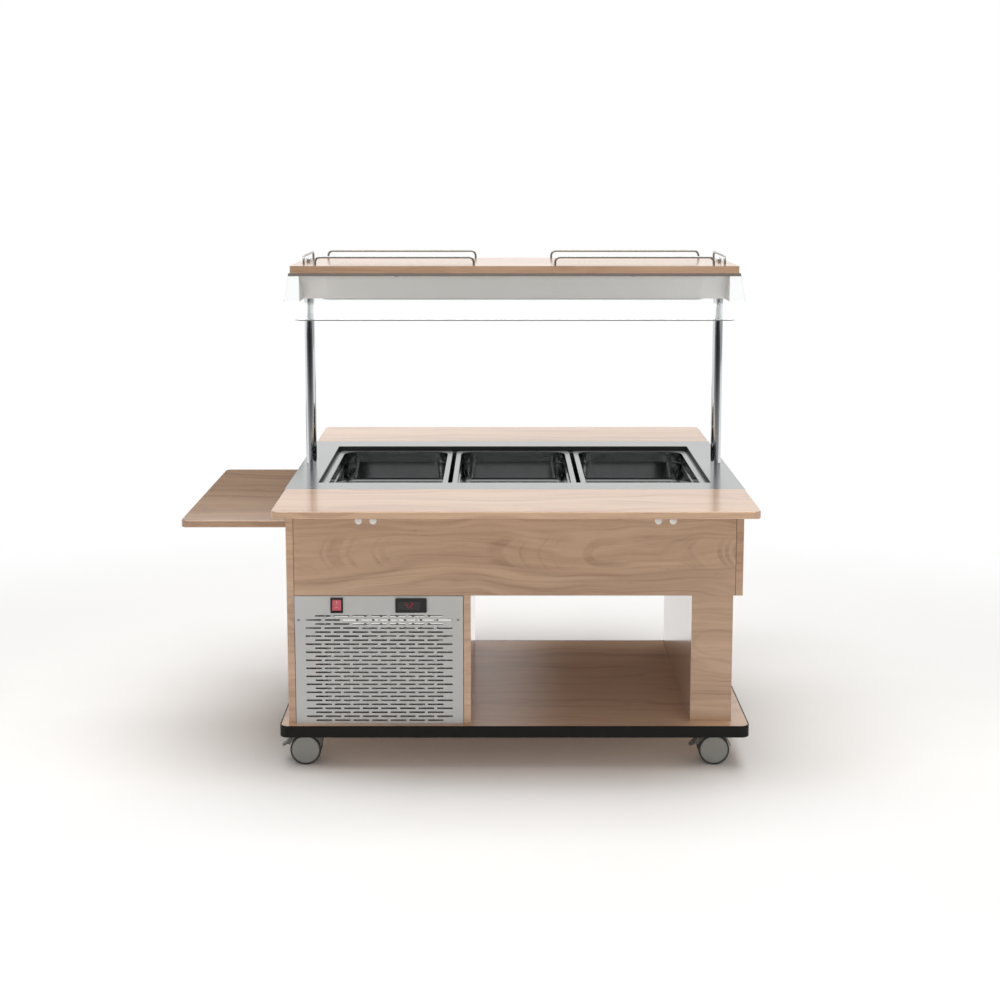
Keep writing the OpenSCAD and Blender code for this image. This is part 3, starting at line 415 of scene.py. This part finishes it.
def laminate(name, seed, looks, painted_shade, level, start, painted_light, seams):
    """Printed wood with level grain; long nested arcs repeat along one line of each board, and
    seams gives the places of the dark joints at its ends."""
    material, g = finish(name)
    x, y, z = g.split(g.place())
    facing = [abs(n) for n in g.split(g.add("ShaderNodeTexCoord", out="Normal"))]
    on_end, on_top = facing[0].over(0.7), facing[2].over(0.7)
    along = x + on_end * (y - x)
    across = z - level + on_top * (y - z)

    def grain(along_rate, across_rate, offset, detail=2.0, roughness=0.5, bend=None):
        """Noise with so many features a metre along the board and across it."""
        rise = across * across_rate
        if bend:
            rise = rise + bend
        place = g.vector(along * along_rate, rise, seed + offset)
        return g.noise(place, 1.0, detail, roughness)

    sway = grain(2.2, 6.0, 0.0) - 0.5

    # The figure: arcs some 8 mm apart round the middle line, which climb away from it along
    # each repeat and fade out at both its ends and 58 mm off the line.
    turn = ((along + start) * (1.0 / PRINT_REPEAT)).maths("FRACT")
    off = across + sway * 0.03
    spread = off * off
    ring = (spread + 0.0042).power(0.5) + turn.fade(0.0, 0.62, 0.1, 0.0) + sway * 0.026
    arcs = g.noise(g.vector(ring * 125.0, along * 1.6, seed + 5.0), 1.0, 1.0, 0.4)
    near = (spread + 0.0009).power(0.5).fade(0.036, 0.058, 1.0, 0.0)
    near = near * turn.fade(0.0, 0.07) * turn.fade(0.55, 0.95, 1.0, 0.0)
    patch = grain(9.0, 30.0, 2.0)

    # The lines that run from end to end, from broad to fine.
    band = grain(1.1, 24.0, 9.0, 3.0, bend=sway * 6.0)
    streak = grain(3.0, 120.0, 3.0, 3.0, 0.6, bend=sway * 14.0)
    flecks = grain(42.0, 160.0, 7.0)
    fibre = grain(14.0, 620.0, 0.0, 2.0, 0.6)
    depth = (
        arcs.fade(0.48, 0.62) * near * patch.fade(0.25, 0.65) * (0.31 - on_top * 0.26)
        + band.fade(0.3, 0.72) * 0.4
        + streak.fade(0.4, 0.75) * (0.3 - near * 0.12)
        + flecks.fade(0.58, 0.8) * 0.14
        + fibre.fade(0.35, 0.75) * 0.1
        + painted_shade
    )
    # painted_shade, added to the grain's depth, and painted_light, which scales both wood tones,
    # paint the light and shade on this board.
    tone = g.tint(depth, toned(looks.wood_light, painted_light), toned(looks.wood_dark, painted_light))
    if seams:
        left, right = (
            gap.fade(SEAM_LINE, SEAM_LINE * 0.6) for gap in (x - seams[0], seams[1] - x)
        )
        tone = g.tint(left.most(right) * 0.75, tone, shade(64, 50, 40))
    g.skin(
        Base_Color=tone,
        Roughness=looks.wood_gloss + fibre * 0.06,
        Coat_Weight=looks.wood_coat,
        Coat_Roughness=0.08,
        Normal=g.bump(fibre + streak * 0.5, 0.00004),
    )
    return material


def brushed(name, tint, roughness, along=(0.02, 1.0, 1.0), depth=0.00002, recess=None):
    """Rolled steel with fine brush lines along one axis and faint smudges; in the pans' opening it
    carries a dark painted shade below the level that recess gives."""
    material, g = finish(name)
    lines = g.noise(g.place(along), 900.0, 2.0, 0.6)
    smudge = g.noise(g.place(), 7.0, 3.0, 0.6)
    tone = g.tint(lines.fade(0.3, 0.7) * 0.4 + smudge * 0.2, tint, toned(tint, 0.82))
    rough = roughness + lines * 0.05 + smudge * 0.04
    metal = 1.0
    if recess:
        x, y, z = g.split(g.place())
        centre = sum(c[0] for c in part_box("cold_well")) / 2
        half_length, half_depth = OPENING_HALF
        inside = abs(x - centre).under(half_length) * abs(y).under(half_depth)
        # Painted shade: the opening's walls below the recess level turn near black, matt and not
        # metal.
        recess_shade = z.under(recess) * inside
        tone = g.tint(recess_shade, tone, shade(30, 30, 31))
        rough = rough + recess_shade * 0.3
        metal = 1.0 - recess_shade
    g.skin(Base_Color=tone, Metallic=metal, Roughness=rough, Normal=g.bump(lines, depth))
    return material


def polished(name, tint, roughness):
    """Chrome or polished sheet with a trace of handling marks."""
    material, g = finish(name)
    marks = g.noise(g.place((1.0, 1.0, 0.3)), 60.0, 4.0, 0.65)
    g.skin(
        Base_Color=g.tint(marks.fade(0.4, 0.8), tint, toned(tint, 0.93)),
        Metallic=1.0,
        Roughness=roughness + marks.fade(0.45, 0.85) * 0.05,
    )
    return material


def tube(name, tint, axis, end):
    """Satin chrome; the plug beyond the tube's end is pale moulded plastic."""
    material, g = finish(name)
    marks = g.noise(g.place(), 60.0, 4.0, 0.65)
    place = g.split(g.place())[axis]
    plug = place.over(end) if end > 0 else place.under(end)
    metal = g.tint(marks.fade(0.4, 0.8), tint, toned(tint, 0.93))
    g.skin(
        Base_Color=g.tint(plug, metal, shade(206, 204, 199)),
        Metallic=1.0 - plug,
        Roughness=marks * 0.06 + plug * 0.3 + 0.1,
    )
    return material


def pan_sheet(name, tint, rim_tint, rim_level):
    """Deep-drawn steel: a satin rim at the top, a mirror finish with drawing marks below, in a
    darker tint that paints the shade inside the pans.
    """
    material, g = finish(name)
    _x, _y, z = g.split(g.place())
    rim = z.over(rim_level)
    marks = g.noise(g.place((1.0, 1.0, 0.25)), 70.0, 4.0, 0.65)
    waves = g.noise(g.place(), 16.0, 2.0)
    # The mirror's tint is darker than the rim's: a painted shade for the pans' insides.
    mirror = g.tint(marks.fade(0.4, 0.8), tint, toned(tint, 0.9))
    g.skin(
        Base_Color=g.tint(rim, mirror, rim_tint),
        Metallic=1.0,
        Roughness=rim * 0.2 + marks.fade(0.45, 0.85) * 0.06 + 0.09,
        Normal=g.bump(waves * (1.0 - rim), 0.00006),
    )
    return material


def painted(name, tint, roughness, orange_peel=0.00003, mottle=0.24, ends=None):
    """Smooth paint or enamel; ends gives the middle and the distance past which it is paler."""
    material, g = finish(name)
    peel = g.noise(g.place(), 900.0, 2.0, 0.5)
    cloud = g.noise(g.place(), 5.0, 3.0, 0.55)
    tone = g.tint(cloud.fade(0.3, 0.7) * mottle, tint, toned(tint, 0.9))
    if ends:
        x, _y, _z = g.split(g.place())
        cap = abs(x - ends[0]).fade(ends[1] - 0.001, ends[1] + 0.001)
        tone = g.tint(cap * 0.15, tone, shade(255, 255, 255))
    g.skin(Base_Color=tone, Roughness=roughness + cloud * 0.06, Normal=g.bump(peel, orange_peel))
    return material


def moulded(name, tint, roughness, grain=0.00005, shine=0.4):
    """Moulded plastic with a fine leather grain and paler dusty patches."""
    material, g = finish(name)
    pores = g.add(
        "ShaderNodeTexVoronoi", {"feature": "SMOOTH_F1"}, {"Vector": g.place(), "Scale": 700.0}
    )
    dust = g.noise(g.place(), 24.0, 4.0, 0.65)
    g.skin(
        Base_Color=g.tint(dust.fade(0.45, 0.8) * 0.4, tint, toned(tint, 1.25, 0.004)),
        Roughness=roughness + dust * 0.1,
        Specular_IOR_Level=shine,
        Normal=g.bump(pores, grain),
    )
    return material


def wheel(name, tint, tread, axle):
    """Moulded twin wheel: pale discs inside a dark tread with worn edges."""
    tread_from, lip, soft = 0.0362, 0.0345, 0.0005
    material, g = finish(name)
    x, _y, z = g.split(g.place())
    across, up = x - axle[0], z - axle[1]
    radius = (across * across + up * up).power(0.5)
    dust = g.noise(g.place(), 24.0, 4.0, 0.65)
    scuff = g.noise(g.place((1.0, 0.3, 1.0)), 260.0, 3.0, 0.6)
    disc = g.tint(dust.fade(0.45, 0.8) * 0.4, tint, toned(tint, 1.2))
    rubber = g.tint(scuff * 0.5, tread, toned(tread, 2.2, 0.01))
    groove = radius.fade(lip, lip + soft) * radius.fade(tread_from, tread_from - soft)
    g.skin(
        Base_Color=g.tint(radius.over(tread_from).most(groove * 0.7), disc, rubber),
        Roughness=dust * 0.1 + 0.42,
        Specular_IOR_Level=0.35,
        Normal=g.bump(scuff, 0.00004),
    )
    return material


def clear_sheet(name, low_edge, flange):
    """Thin acrylic: clear and bright, grey at its cut lower edge, with a dark band on its flange
    that paints the shadow and reflection of the board's underside.
    """
    material, g = finish(name)
    _x, _y, z = g.split(g.place())
    haze = g.noise(g.place(), 14.0, 3.0, 0.6)
    facing = g.add("ShaderNodeLayerWeight", None, {"Blend": 0.5}, out="Facing")
    through = g.add("ShaderNodeBsdfTransparent", None, {"Color": (0.985, 0.99, 0.99, 1.0)})
    gloss = g.principled(
        Base_Color=(0.94, 0.96, 0.96), Roughness=haze * 0.03 + 0.02, Metallic=1.0
    )
    cut = g.principled(Base_Color=shade(122, 128, 126), Roughness=0.3)
    # Painted shadow and painted reflection of the board's underside, on the flange under the
    # board.
    board_shadow = g.principled(Base_Color=shade(66, 54, 48), Roughness=0.4)
    sheet = g.mixed(facing.power(5.0) * 0.95 + 0.05, through, gloss)
    edged = g.mixed(z.under(low_edge), sheet, cut)
    g.surface(g.mixed(z.over(flange) * 0.95, edged, board_shadow))
    return material


# ---------------------------------------------------------------- mesh helpers


def only(*objects):
    """Nothing else stays selected."""
    if bpy.context.mode != "OBJECT":
        bpy.ops.object.mode_set(mode="OBJECT")
    bpy.ops.object.select_all(action="DESELECT")
    for o in objects:
        o.select_set(True)
    if objects:
        bpy.context.view_layer.objects.active = objects[0]


def pick(obj, test, kind="FACE"):
    """In edit mode, selects the faces whose centre and normal pass a test, or the edges whose
    centre and direction do."""
    bpy.ops.mesh.select_mode(type=kind)
    bpy.ops.mesh.select_all(action="DESELECT")
    mesh = bmesh.from_edit_mesh(obj.data)
    for item in mesh.faces if kind == "FACE" else mesh.edges:
        if kind == "FACE":
            centre, direction = item.calc_center_median(), item.normal
        else:
            start, end = (corner.co for corner in item.verts)
            centre, direction = (start + end) / 2, (end - start).normalized()
        if test(centre, direction):
            item.select_set(True)
    mesh.select_flush(True)
    bmesh.update_edit_mesh(obj.data)


def settle(obj, name, material, body=None):
    """Names the piece, puts its place into its mesh, dresses it and lets it ride; with no body
    it belongs to the studio."""
    only(obj)
    bpy.ops.object.transform_apply(location=True, rotation=True, scale=True)
    bpy.ops.object.mode_set(mode="EDIT")
    bpy.ops.mesh.select_all(action="SELECT")
    bpy.ops.mesh.remove_doubles(threshold=1e-6)
    bpy.ops.mesh.normals_make_consistent(inside=False)
    bpy.ops.object.mode_set(mode="OBJECT")
    bpy.ops.object.shade_smooth_by_angle(angle=math.radians(35))
    obj.name = obj.data.name = name
    obj.data.materials.clear()
    obj.data.materials.append(material)
    if body:
        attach(obj, body)
    only()
    return obj


def turned(name, sides, steps, socket=False):
    """A round head on the floor: each step gives its radius and its rise, and a socket sinks
    into the last one's top."""
    only()
    radius, rise = steps[0]
    bpy.ops.mesh.primitive_cylinder_add(
        vertices=sides, radius=radius, depth=rise, location=(0.0, 0.0, rise / 2)
    )
    obj = bpy.context.object
    obj.name = name
    bpy.ops.object.transform_apply(location=True, rotation=True, scale=True)
    bpy.ops.object.mode_set(mode="EDIT")
    for narrow, lift in steps[1:]:
        pick(obj, lambda centre, normal: normal.z > 0.9)
        bpy.ops.mesh.extrude_region_move(TRANSFORM_OT_translate={"value": (0.0, 0.0, lift)})
        bpy.ops.transform.resize(value=(narrow / radius, narrow / radius, 1.0))
        radius = narrow
    if socket:
        pick(obj, lambda centre, normal: normal.z > 0.9)
        bpy.ops.mesh.inset(thickness=radius * 0.35)
        bpy.ops.mesh.extrude_region_move(TRANSFORM_OT_translate={"value": (0.0, 0.0, -rise)})
    bpy.ops.object.mode_set(mode="OBJECT")
    return obj


def bevelled(share_of_width):
    """Rounds every edge of the active piece by a share of its thinnest side."""
    obj = bpy.context.object
    bpy.ops.object.transform_apply(location=False, rotation=False, scale=True)
    bpy.ops.object.mode_set(mode="EDIT")
    bpy.ops.mesh.select_all(action="SELECT")
    bpy.ops.mesh.bevel(offset=min(obj.dimensions) * share_of_width, segments=2)
    bpy.ops.object.mode_set(mode="OBJECT")


def lozenge(place, long, wide, upright):
    """One lit bar of a figure, pointed at both ends."""
    only()
    bpy.ops.mesh.primitive_cube_add(size=1.0, location=place)
    obj = bpy.context.object
    obj.scale = (wide, 0.0005, long) if upright else (long, 0.0005, wide)
    bpy.ops.object.transform_apply(location=True, rotation=True, scale=True)
    bpy.ops.object.mode_set(mode="EDIT")
    axis = 2 if upright else 0

    def at_an_end(centre, along):
        return abs(along.y) > 0.9 and abs(centre[axis] - place[axis]) > long * 0.4

    pick(obj, at_an_end, "EDGE")
    bpy.ops.mesh.bevel(offset=wide * 0.42, segments=1)
    bpy.ops.object.mode_set(mode="OBJECT")
    return obj


# ---------------------------------------------------------------- studio


def surroundings(ambient):
    """A white room to the eye and in gloss, which lights matt surfaces softly."""
    world = bpy.data.worlds.new("studio_air")
    world.use_nodes = True
    g = Graph(world.node_tree)
    soft = g.add("ShaderNodeBackground", None, {0: (1.0, 0.99, 0.975, 1.0), 1: ambient})
    white = g.add("ShaderNodeBackground", None, {0: (1.0, 1.0, 1.0, 1.0), 1: 1.0})
    g.add("ShaderNodeOutputWorld", None, {0: g.mixed(g.seen_rays(), soft, white)})
    return world


def plain_floor(tint):
    """A matt floor that keeps the shadow under the body and turns white further out; in front of
    the body a painted light lifts part of the shadow.
    """
    material, g = finish("studio_floor")
    x, y, _z = g.split(g.place())
    deep = y + 0.1
    far = (x * x * 0.55 + deep * deep).power(0.5).fade(0.75, 2.6)
    # Painted light: in front of the body, up to 35 % white glow lifts the cast shadow on the
    # floor.
    front = y.fade(-0.36, -0.62, 0.0, 0.35)
    grit = g.noise(g.place(), 3.0, 3.0)
    matt = g.principled(
        Base_Color=g.tint(grit * 0.2, tint, shade(228, 227, 225)),
        Roughness=0.5,
        Specular_IOR_Level=0.0,
    )
    g.surface(g.mixed(far.most(front) * g.seen_rays(), matt, g.lit((1.0, 1.0, 1.0, 1.0))))
    return material


def studio_plane(name, size, place, turn, material):
    """A flat piece of the studio, turned by degrees."""
    only()
    angles = [math.radians(a) for a in turn]
    bpy.ops.mesh.primitive_plane_add(size=1.0, location=place, rotation=angles)
    piece = bpy.context.object
    piece.scale = (size[0], size[1], 1.0)
    return settle(piece, name, material)


def flag(name, size, place, turn, axis, ends, tones):
    """A plane that shines, but only in gloss."""
    material, g = finish("studio_" + name)
    change = g.split(g.place())[axis].fade(*ends)
    first, last = ((tone, tone, tone) for tone in tones)
    g.surface(g.lit(g.tint(change, first, last)))
    piece = studio_plane(name, size, place, turn, material)
    piece.visible_camera = False
    piece.visible_diffuse = False
    piece.visible_shadow = False
    piece.visible_transmission = False


def lamp(name, size, place, tilt, power, seen):
    """An area lamp, tilted by degrees about the X axis."""
    light = bpy.data.lights.new(name, "AREA")
    light.shape = "RECTANGLE"
    light.size, light.size_y = size
    light.energy = power
    holder = bpy.data.objects.new(name, light)
    holder.location = place
    holder.rotation_euler = (math.radians(tilt), 0.0, 0.0)
    holder.visible_camera = seen
    holder.visible_glossy = seen
    bpy.context.scene.collection.objects.link(holder)


def photo_camera(lens):
    """The camera at the photograph's place."""
    camera = bpy.data.cameras.new("photo_view")
    camera.sensor_width = 36.0
    camera.lens = lens
    camera.shift_y = CAMERA_SHIFT
    camera.clip_end = 60.0
    holder = bpy.data.objects.new("photo_view", camera)
    holder.location = CAMERA_PLACE
    holder.rotation_euler = (math.radians(CAMERA_TILT), 0.0, 0.0)
    bpy.context.scene.collection.objects.link(holder)
    return holder


# ---------------------------------------------------------------- operators


class BAR_OT_stage(bpy.types.Operator):
    """Camera, floor, surroundings and lamps of the studio"""

    bl_idname = "salad_bar.stage"
    bl_label = "Studio"

    def execute(self, context):
        scene = context.scene
        settings = scene.bar_stage
        scene.view_settings.view_transform = "Standard"
        scene.world = surroundings(settings.ambient)
        floor = plain_floor(rgb(settings.floor))
        studio_plane("floor", (26.0, 26.0), (0.0, 0.0, 0.0), LYING, floor)
        for values in FLAGS:
            flag(*values)
        lamp("key", (3.4, 1.9), (0.0, -0.86, 3.3), 0.0, settings.key, True)
        lamp("back", (3.4, 0.9), (0.0, 1.5, 3.0), -24.0, settings.key * 0.4, True)
        lamp("fill", (5.0, 1.2), (0.1, -3.0, 0.5), 98.0, settings.fill, False)
        scene.camera = photo_camera(settings.lens)
        return {"FINISHED"}


class BAR_OT_laminates(bpy.types.Operator):
    """Wood laminate on every board, each with its own figure"""

    bl_idname = "salad_bar.laminates"
    bl_label = "Laminates"

    def execute(self, context):
        looks = context.scene.bar_finishes
        for i, (node, painted_shade, level, start, painted_light) in enumerate(BOARDS):
            low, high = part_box(node)
            seams = (low[0], high[0]) if node.endswith("apron") else None
            name, seed = "laminate_" + node, 3.7 * i + 1.3
            dress(node, laminate(name, seed, looks, painted_shade, level, start, painted_light, seams))
        dress("deck_edging", moulded("edge_band_black", rgb(looks.edging), 0.5, 0.00004, 0.15))
        return {"FINISHED"}


class BAR_OT_metals(bpy.types.Operator):
    """Steel top, well, pans, chrome, grilles, housing and fittings"""

    bl_idname = "salad_bar.metals"
    bl_label = "Metals"

    def execute(self, context):
        looks = context.scene.bar_finishes
        steel = rgb(looks.steel)
        dress("top_frame", brushed("steel_top", steel, looks.steel_gloss, recess=RECESS_LEVEL))
        dress("cold_well", brushed("steel_well", steel, 0.3))
        dress("well_floor", brushed("steel_well_floor", steel, 0.3))
        for n in ("pan_left", "pan_middle", "pan_right"):
            dress(n, pan_sheet("steel_" + n, rgb(looks.pan_steel), steel, RIM_LEVEL))
        chrome = rgb(looks.chrome)
        for n in ("left_post", "right_post", "tie_rods"):
            dress(n, polished("chrome_" + n, chrome, 0.05))
        dress("gallery_rails", polished("chrome_rails", rgb(looks.rail), 0.22))
        for n, axis, reach in (
            ("front_tray_arms", 1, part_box("front_tray_arms")[0][1] + PLUG_LENGTH),
            ("rear_tray_arms", 1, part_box("rear_tray_arms")[1][1] - PLUG_LENGTH),
            ("side_shelf_arms", 0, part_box("side_shelf_arms")[0][0] + PLUG_LENGTH),
        ):
            dress(n, tube("chrome_" + n, chrome, axis, reach))
        for n in ("front_grille", "rear_grille"):
            dress(n, painted("paint_" + n, rgb(looks.grille), 0.45))
        low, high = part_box("light_housing")
        ends = ((low[0] + high[0]) / 2, HOUSING_CAPS)
        dress("light_housing", painted("paint_housing", rgb(looks.housing), 0.4, ends=ends))
        for n, tint, rough in (
            ("hinge_brackets", shade(168, 170, 172), 0.36),
            ("castor_plates", shade(176, 178, 180), 0.34),
            ("unit_base", shade(128, 131, 134), 0.5),
            ("fan_shroud", shade(86, 88, 91), 0.5),
        ):
            dress(n, brushed("zinc_" + n, tint, rough, (1.0, 1.0, 1.0), 0.00003))
        # The coil's fins are painted pale and matt: a painted light for the grey seen through the
        # grilles' slots.
        dress("condenser_coil", painted("alloy_coil", shade(176, 173, 167), 0.5, 0.00006))
        dress("fan_blades", brushed("alloy_fan", shade(190, 192, 195), 0.32, (1.0, 1.0, 1.0)))
        dress("refrigerant_pipes", polished("copper_pipes", shade(196, 128, 92), 0.24))
        dress("drain_valve", polished("brass_valve", shade(202, 176, 112), 0.26))
        dress("compressor", painted("enamel_compressor", shade(30, 30, 31), 0.32))
        dress("fan_motor", painted("enamel_motor", shade(52, 53, 56), 0.45))
        return {"FINISHED"}


class BAR_OT_plastics(bpy.types.Operator):
    """Clear guards, diffuser, controls and castors"""

    bl_idname = "salad_bar.plastics"
    bl_label = "Plastics"

    def execute(self, context):
        looks = context.scene.bar_finishes
        low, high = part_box("front_guard")
        acrylic = clear_sheet("acrylic_guard", low[2] + GUARD_CUT, high[2] - GUARD_SHADOW_BAND)
        for n in ("front_guard", "rear_guard"):
            dress(n, acrylic)
        dress("light_diffuser", painted("opal_diffuser", shade(240, 240, 236), 0.3, 0.00001, 0.08))
        for n in ("switch_bezel", "controller_case", "cable_gland"):
            dress(n, moulded("black_" + n, shade(26, 26, 28), 0.38))
        dress("switch_rocker", painted("rocker_key", rgb(looks.rocker), 0.3, 0.00001, 0.08))
        lens = painted("display_lens", shade(26, 22, 23), 0.12, 0.000005, 0.08)
        dress("controller_display", lens)
        dress("drain_lever", painted("vinyl_lever", shade(178, 34, 28), 0.4))
        for side in ("front_left", "front_right", "rear_left", "rear_right"):
            for part in ("hood", "pedal"):
                n = "castor_%s_%s" % (side, part)
                dress(n, moulded("moulded_" + n, rgb(looks.hood), 0.42))
            n = "castor_%s_wheels" % side
            low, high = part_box(n)
            axle = ((low[0] + high[0]) / 2, (low[2] + high[2]) / 2)
            dress(n, wheel("moulded_" + n, rgb(looks.castor), rgb(looks.tread), axle))
        return {"FINISHED"}


class BAR_OT_fasteners(bpy.types.Operator):
    """Screws of the grilles and cap nuts of the guards"""

    bl_idname = "salad_bar.fasteners"
    bl_label = "Fasteners"

    def execute(self, context):
        sizes = context.scene.bar_fittings
        zinc = brushed("zinc_fasteners", shade(150, 152, 154), 0.3, (1.0, 1.0, 1.0))
        head, cap = sizes.screw_r, sizes.cap_r
        screw = turned("screw", 20, ((head, 0.0007), (head * 0.72, 0.0009)), socket=True)
        nut = turned("cap_nut", 24, ((cap, 0.0012), (cap * 0.74, 0.003), (cap * 0.4, 0.0014)))
        low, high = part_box("front_grille")
        rear_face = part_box("rear_grille")[1][1]
        corners = (low[0] + SCREW_INSETS[0], high[0] - SCREW_INSETS[1])
        for name, master, turn, y, z, places in (
            ("front_grille_screw", screw, 90, low[1], SCREW_LEVEL, corners),
            ("rear_grille_screw", screw, -90, rear_face, SCREW_LEVEL, corners),
            ("front_guard_nut", nut, 180, -NUT_ROW, GUARD_FLANGE, NUT_PLACES),
            ("rear_guard_nut", nut, 180, NUT_ROW, GUARD_FLANGE, NUT_PLACES),
        ):
            for i, x in enumerate(places):
                only()
                piece = master.copy()
                piece.data = master.data.copy()
                context.collection.objects.link(piece)
                piece.location = (x, y, z)
                piece.rotation_euler = (math.radians(turn), 0.0, 0.0)
                settle(piece, "%s_%d" % (name, i + 1), zinc, "cart")
        for master in (screw, nut):
            bpy.data.objects.remove(master)
        return {"FINISHED"}


class BAR_OT_markings(bpy.types.Operator):
    """Lit figures of the display and printed marks of the switch"""

    bl_idname = "salad_bar.markings"
    bl_label = "Markings"

    def execute(self, context):
        sizes = context.scene.bar_fittings
        lit, g = finish("lit_segments")
        flicker = g.noise(g.place(), 300.0, 2.0)
        glow = g.tint(flicker, rgb(sizes.glow), toned(sizes.glow, 0.8))
        g.skin(Base_Color=glow, Roughness=0.3, Emission_Color=glow, Emission_Strength=0.4)
        low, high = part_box("controller_display")
        tall = sizes.figure_h
        wide, bar = tall * 0.52, tall * 0.095
        half, pitch = tall / 2 - bar / 2, wide + bar * 3.6
        left, level = low[0] + FIGURES_INSET, (low[2] + high[2]) / 2 + FIGURES_RISE
        front = low[1] - INK
        bars = []
        for start, lines in ((left, FOUR), (left + pitch, TWO)):
            for line in lines:
                across, up, upright = SEGMENTS[line]
                place = (start + across * (wide - bar), front, level + up * half)
                long = half - bar * 0.35 if upright else wide - bar * 1.6
                bars.append(lozenge(place, long, bar, upright))
        point = (left + wide + bar * 0.8, front, level - half)
        bars.append(lozenge(point, bar * 1.1, bar, False))
        only(*bars)
        bpy.ops.object.join()
        settle(context.object, "display_figures", lit, "cart")

        ink, g = finish("switch_print")
        worn = g.noise(g.place(), 900.0, 3.0)
        g.skin(Base_Color=g.tint(worn * 0.4, rgb(sizes.mark), shade(205, 150, 156)), Roughness=0.5)
        low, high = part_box("switch_rocker")
        middle = (low[0] + high[0]) / 2
        y, z, lean = MARK_ON
        only()
        bpy.ops.mesh.primitive_cube_add(size=1.0, location=(middle, y, z))
        stroke = context.object
        stroke.scale = (0.0011, 0.0004, 0.0062)
        stroke.rotation_euler = (math.radians(lean), 0.0, 0.0)
        bevelled(0.25)
        settle(stroke, "switch_mark_on", ink, "switch_rocker")
        y, z, lean = MARK_OFF
        only()
        bpy.ops.mesh.primitive_torus_add(
            location=(middle, y, z),
            rotation=(math.radians(90 + lean), 0.0, 0.0),
            major_radius=0.0026,
            minor_radius=0.00045,
            major_segments=32,
            minor_segments=8,
        )
        ring = context.object
        bpy.ops.object.mode_set(mode="EDIT")
        bpy.ops.transform.resize(value=(1.0, 0.5, 1.15))
        bpy.ops.object.mode_set(mode="OBJECT")
        settle(ring, "switch_mark_off", ink, "switch_rocker")
        return {"FINISHED"}


class BAR_PT_panel(bpy.types.Panel):
    """Lists the steps that dress the salad bar"""

    bl_label = "Salad bar"
    bl_idname = "BAR_PT_panel"
    bl_space_type = "VIEW_3D"
    bl_region_type = "UI"
    bl_category = "Salad bar"

    def draw(self, context):
        scene = context.scene
        column = self.layout.column(align=True)
        for step in STEPS:
            column.operator(step.bl_idname)
        for group in (scene.bar_finishes, scene.bar_stage, scene.bar_fittings):
            box = self.layout.box()
            for prop in group.bl_rna.properties:
                if not prop.is_readonly and prop.identifier != "name":
                    box.prop(group, prop.identifier)


STEPS = (
    BAR_OT_stage,
    BAR_OT_laminates,
    BAR_OT_metals,
    BAR_OT_plastics,
    BAR_OT_fasteners,
    BAR_OT_markings,
)
CLASSES = (BarFinishes, BarStage, BarFittings, *STEPS, BAR_PT_panel)


def register():
    """Classes and their settings on the scene."""
    for item in CLASSES:
        bpy.utils.register_class(item)
    bpy.types.Scene.bar_finishes = PointerProperty(type=BarFinishes)
    bpy.types.Scene.bar_stage = PointerProperty(type=BarStage)
    bpy.types.Scene.bar_fittings = PointerProperty(type=BarFittings)


def unregister():
    """The reverse of register."""
    del bpy.types.Scene.bar_fittings
    del bpy.types.Scene.bar_stage
    del bpy.types.Scene.bar_finishes
    for item in reversed(CLASSES):
        bpy.utils.unregister_class(item)


def main():
    """Dresses the object step by step."""
    register()
    for step in STEPS:
        family, action = step.bl_idname.split(".")
        getattr(getattr(bpy.ops, family), action)()


if __name__ == "__main__":
    main()
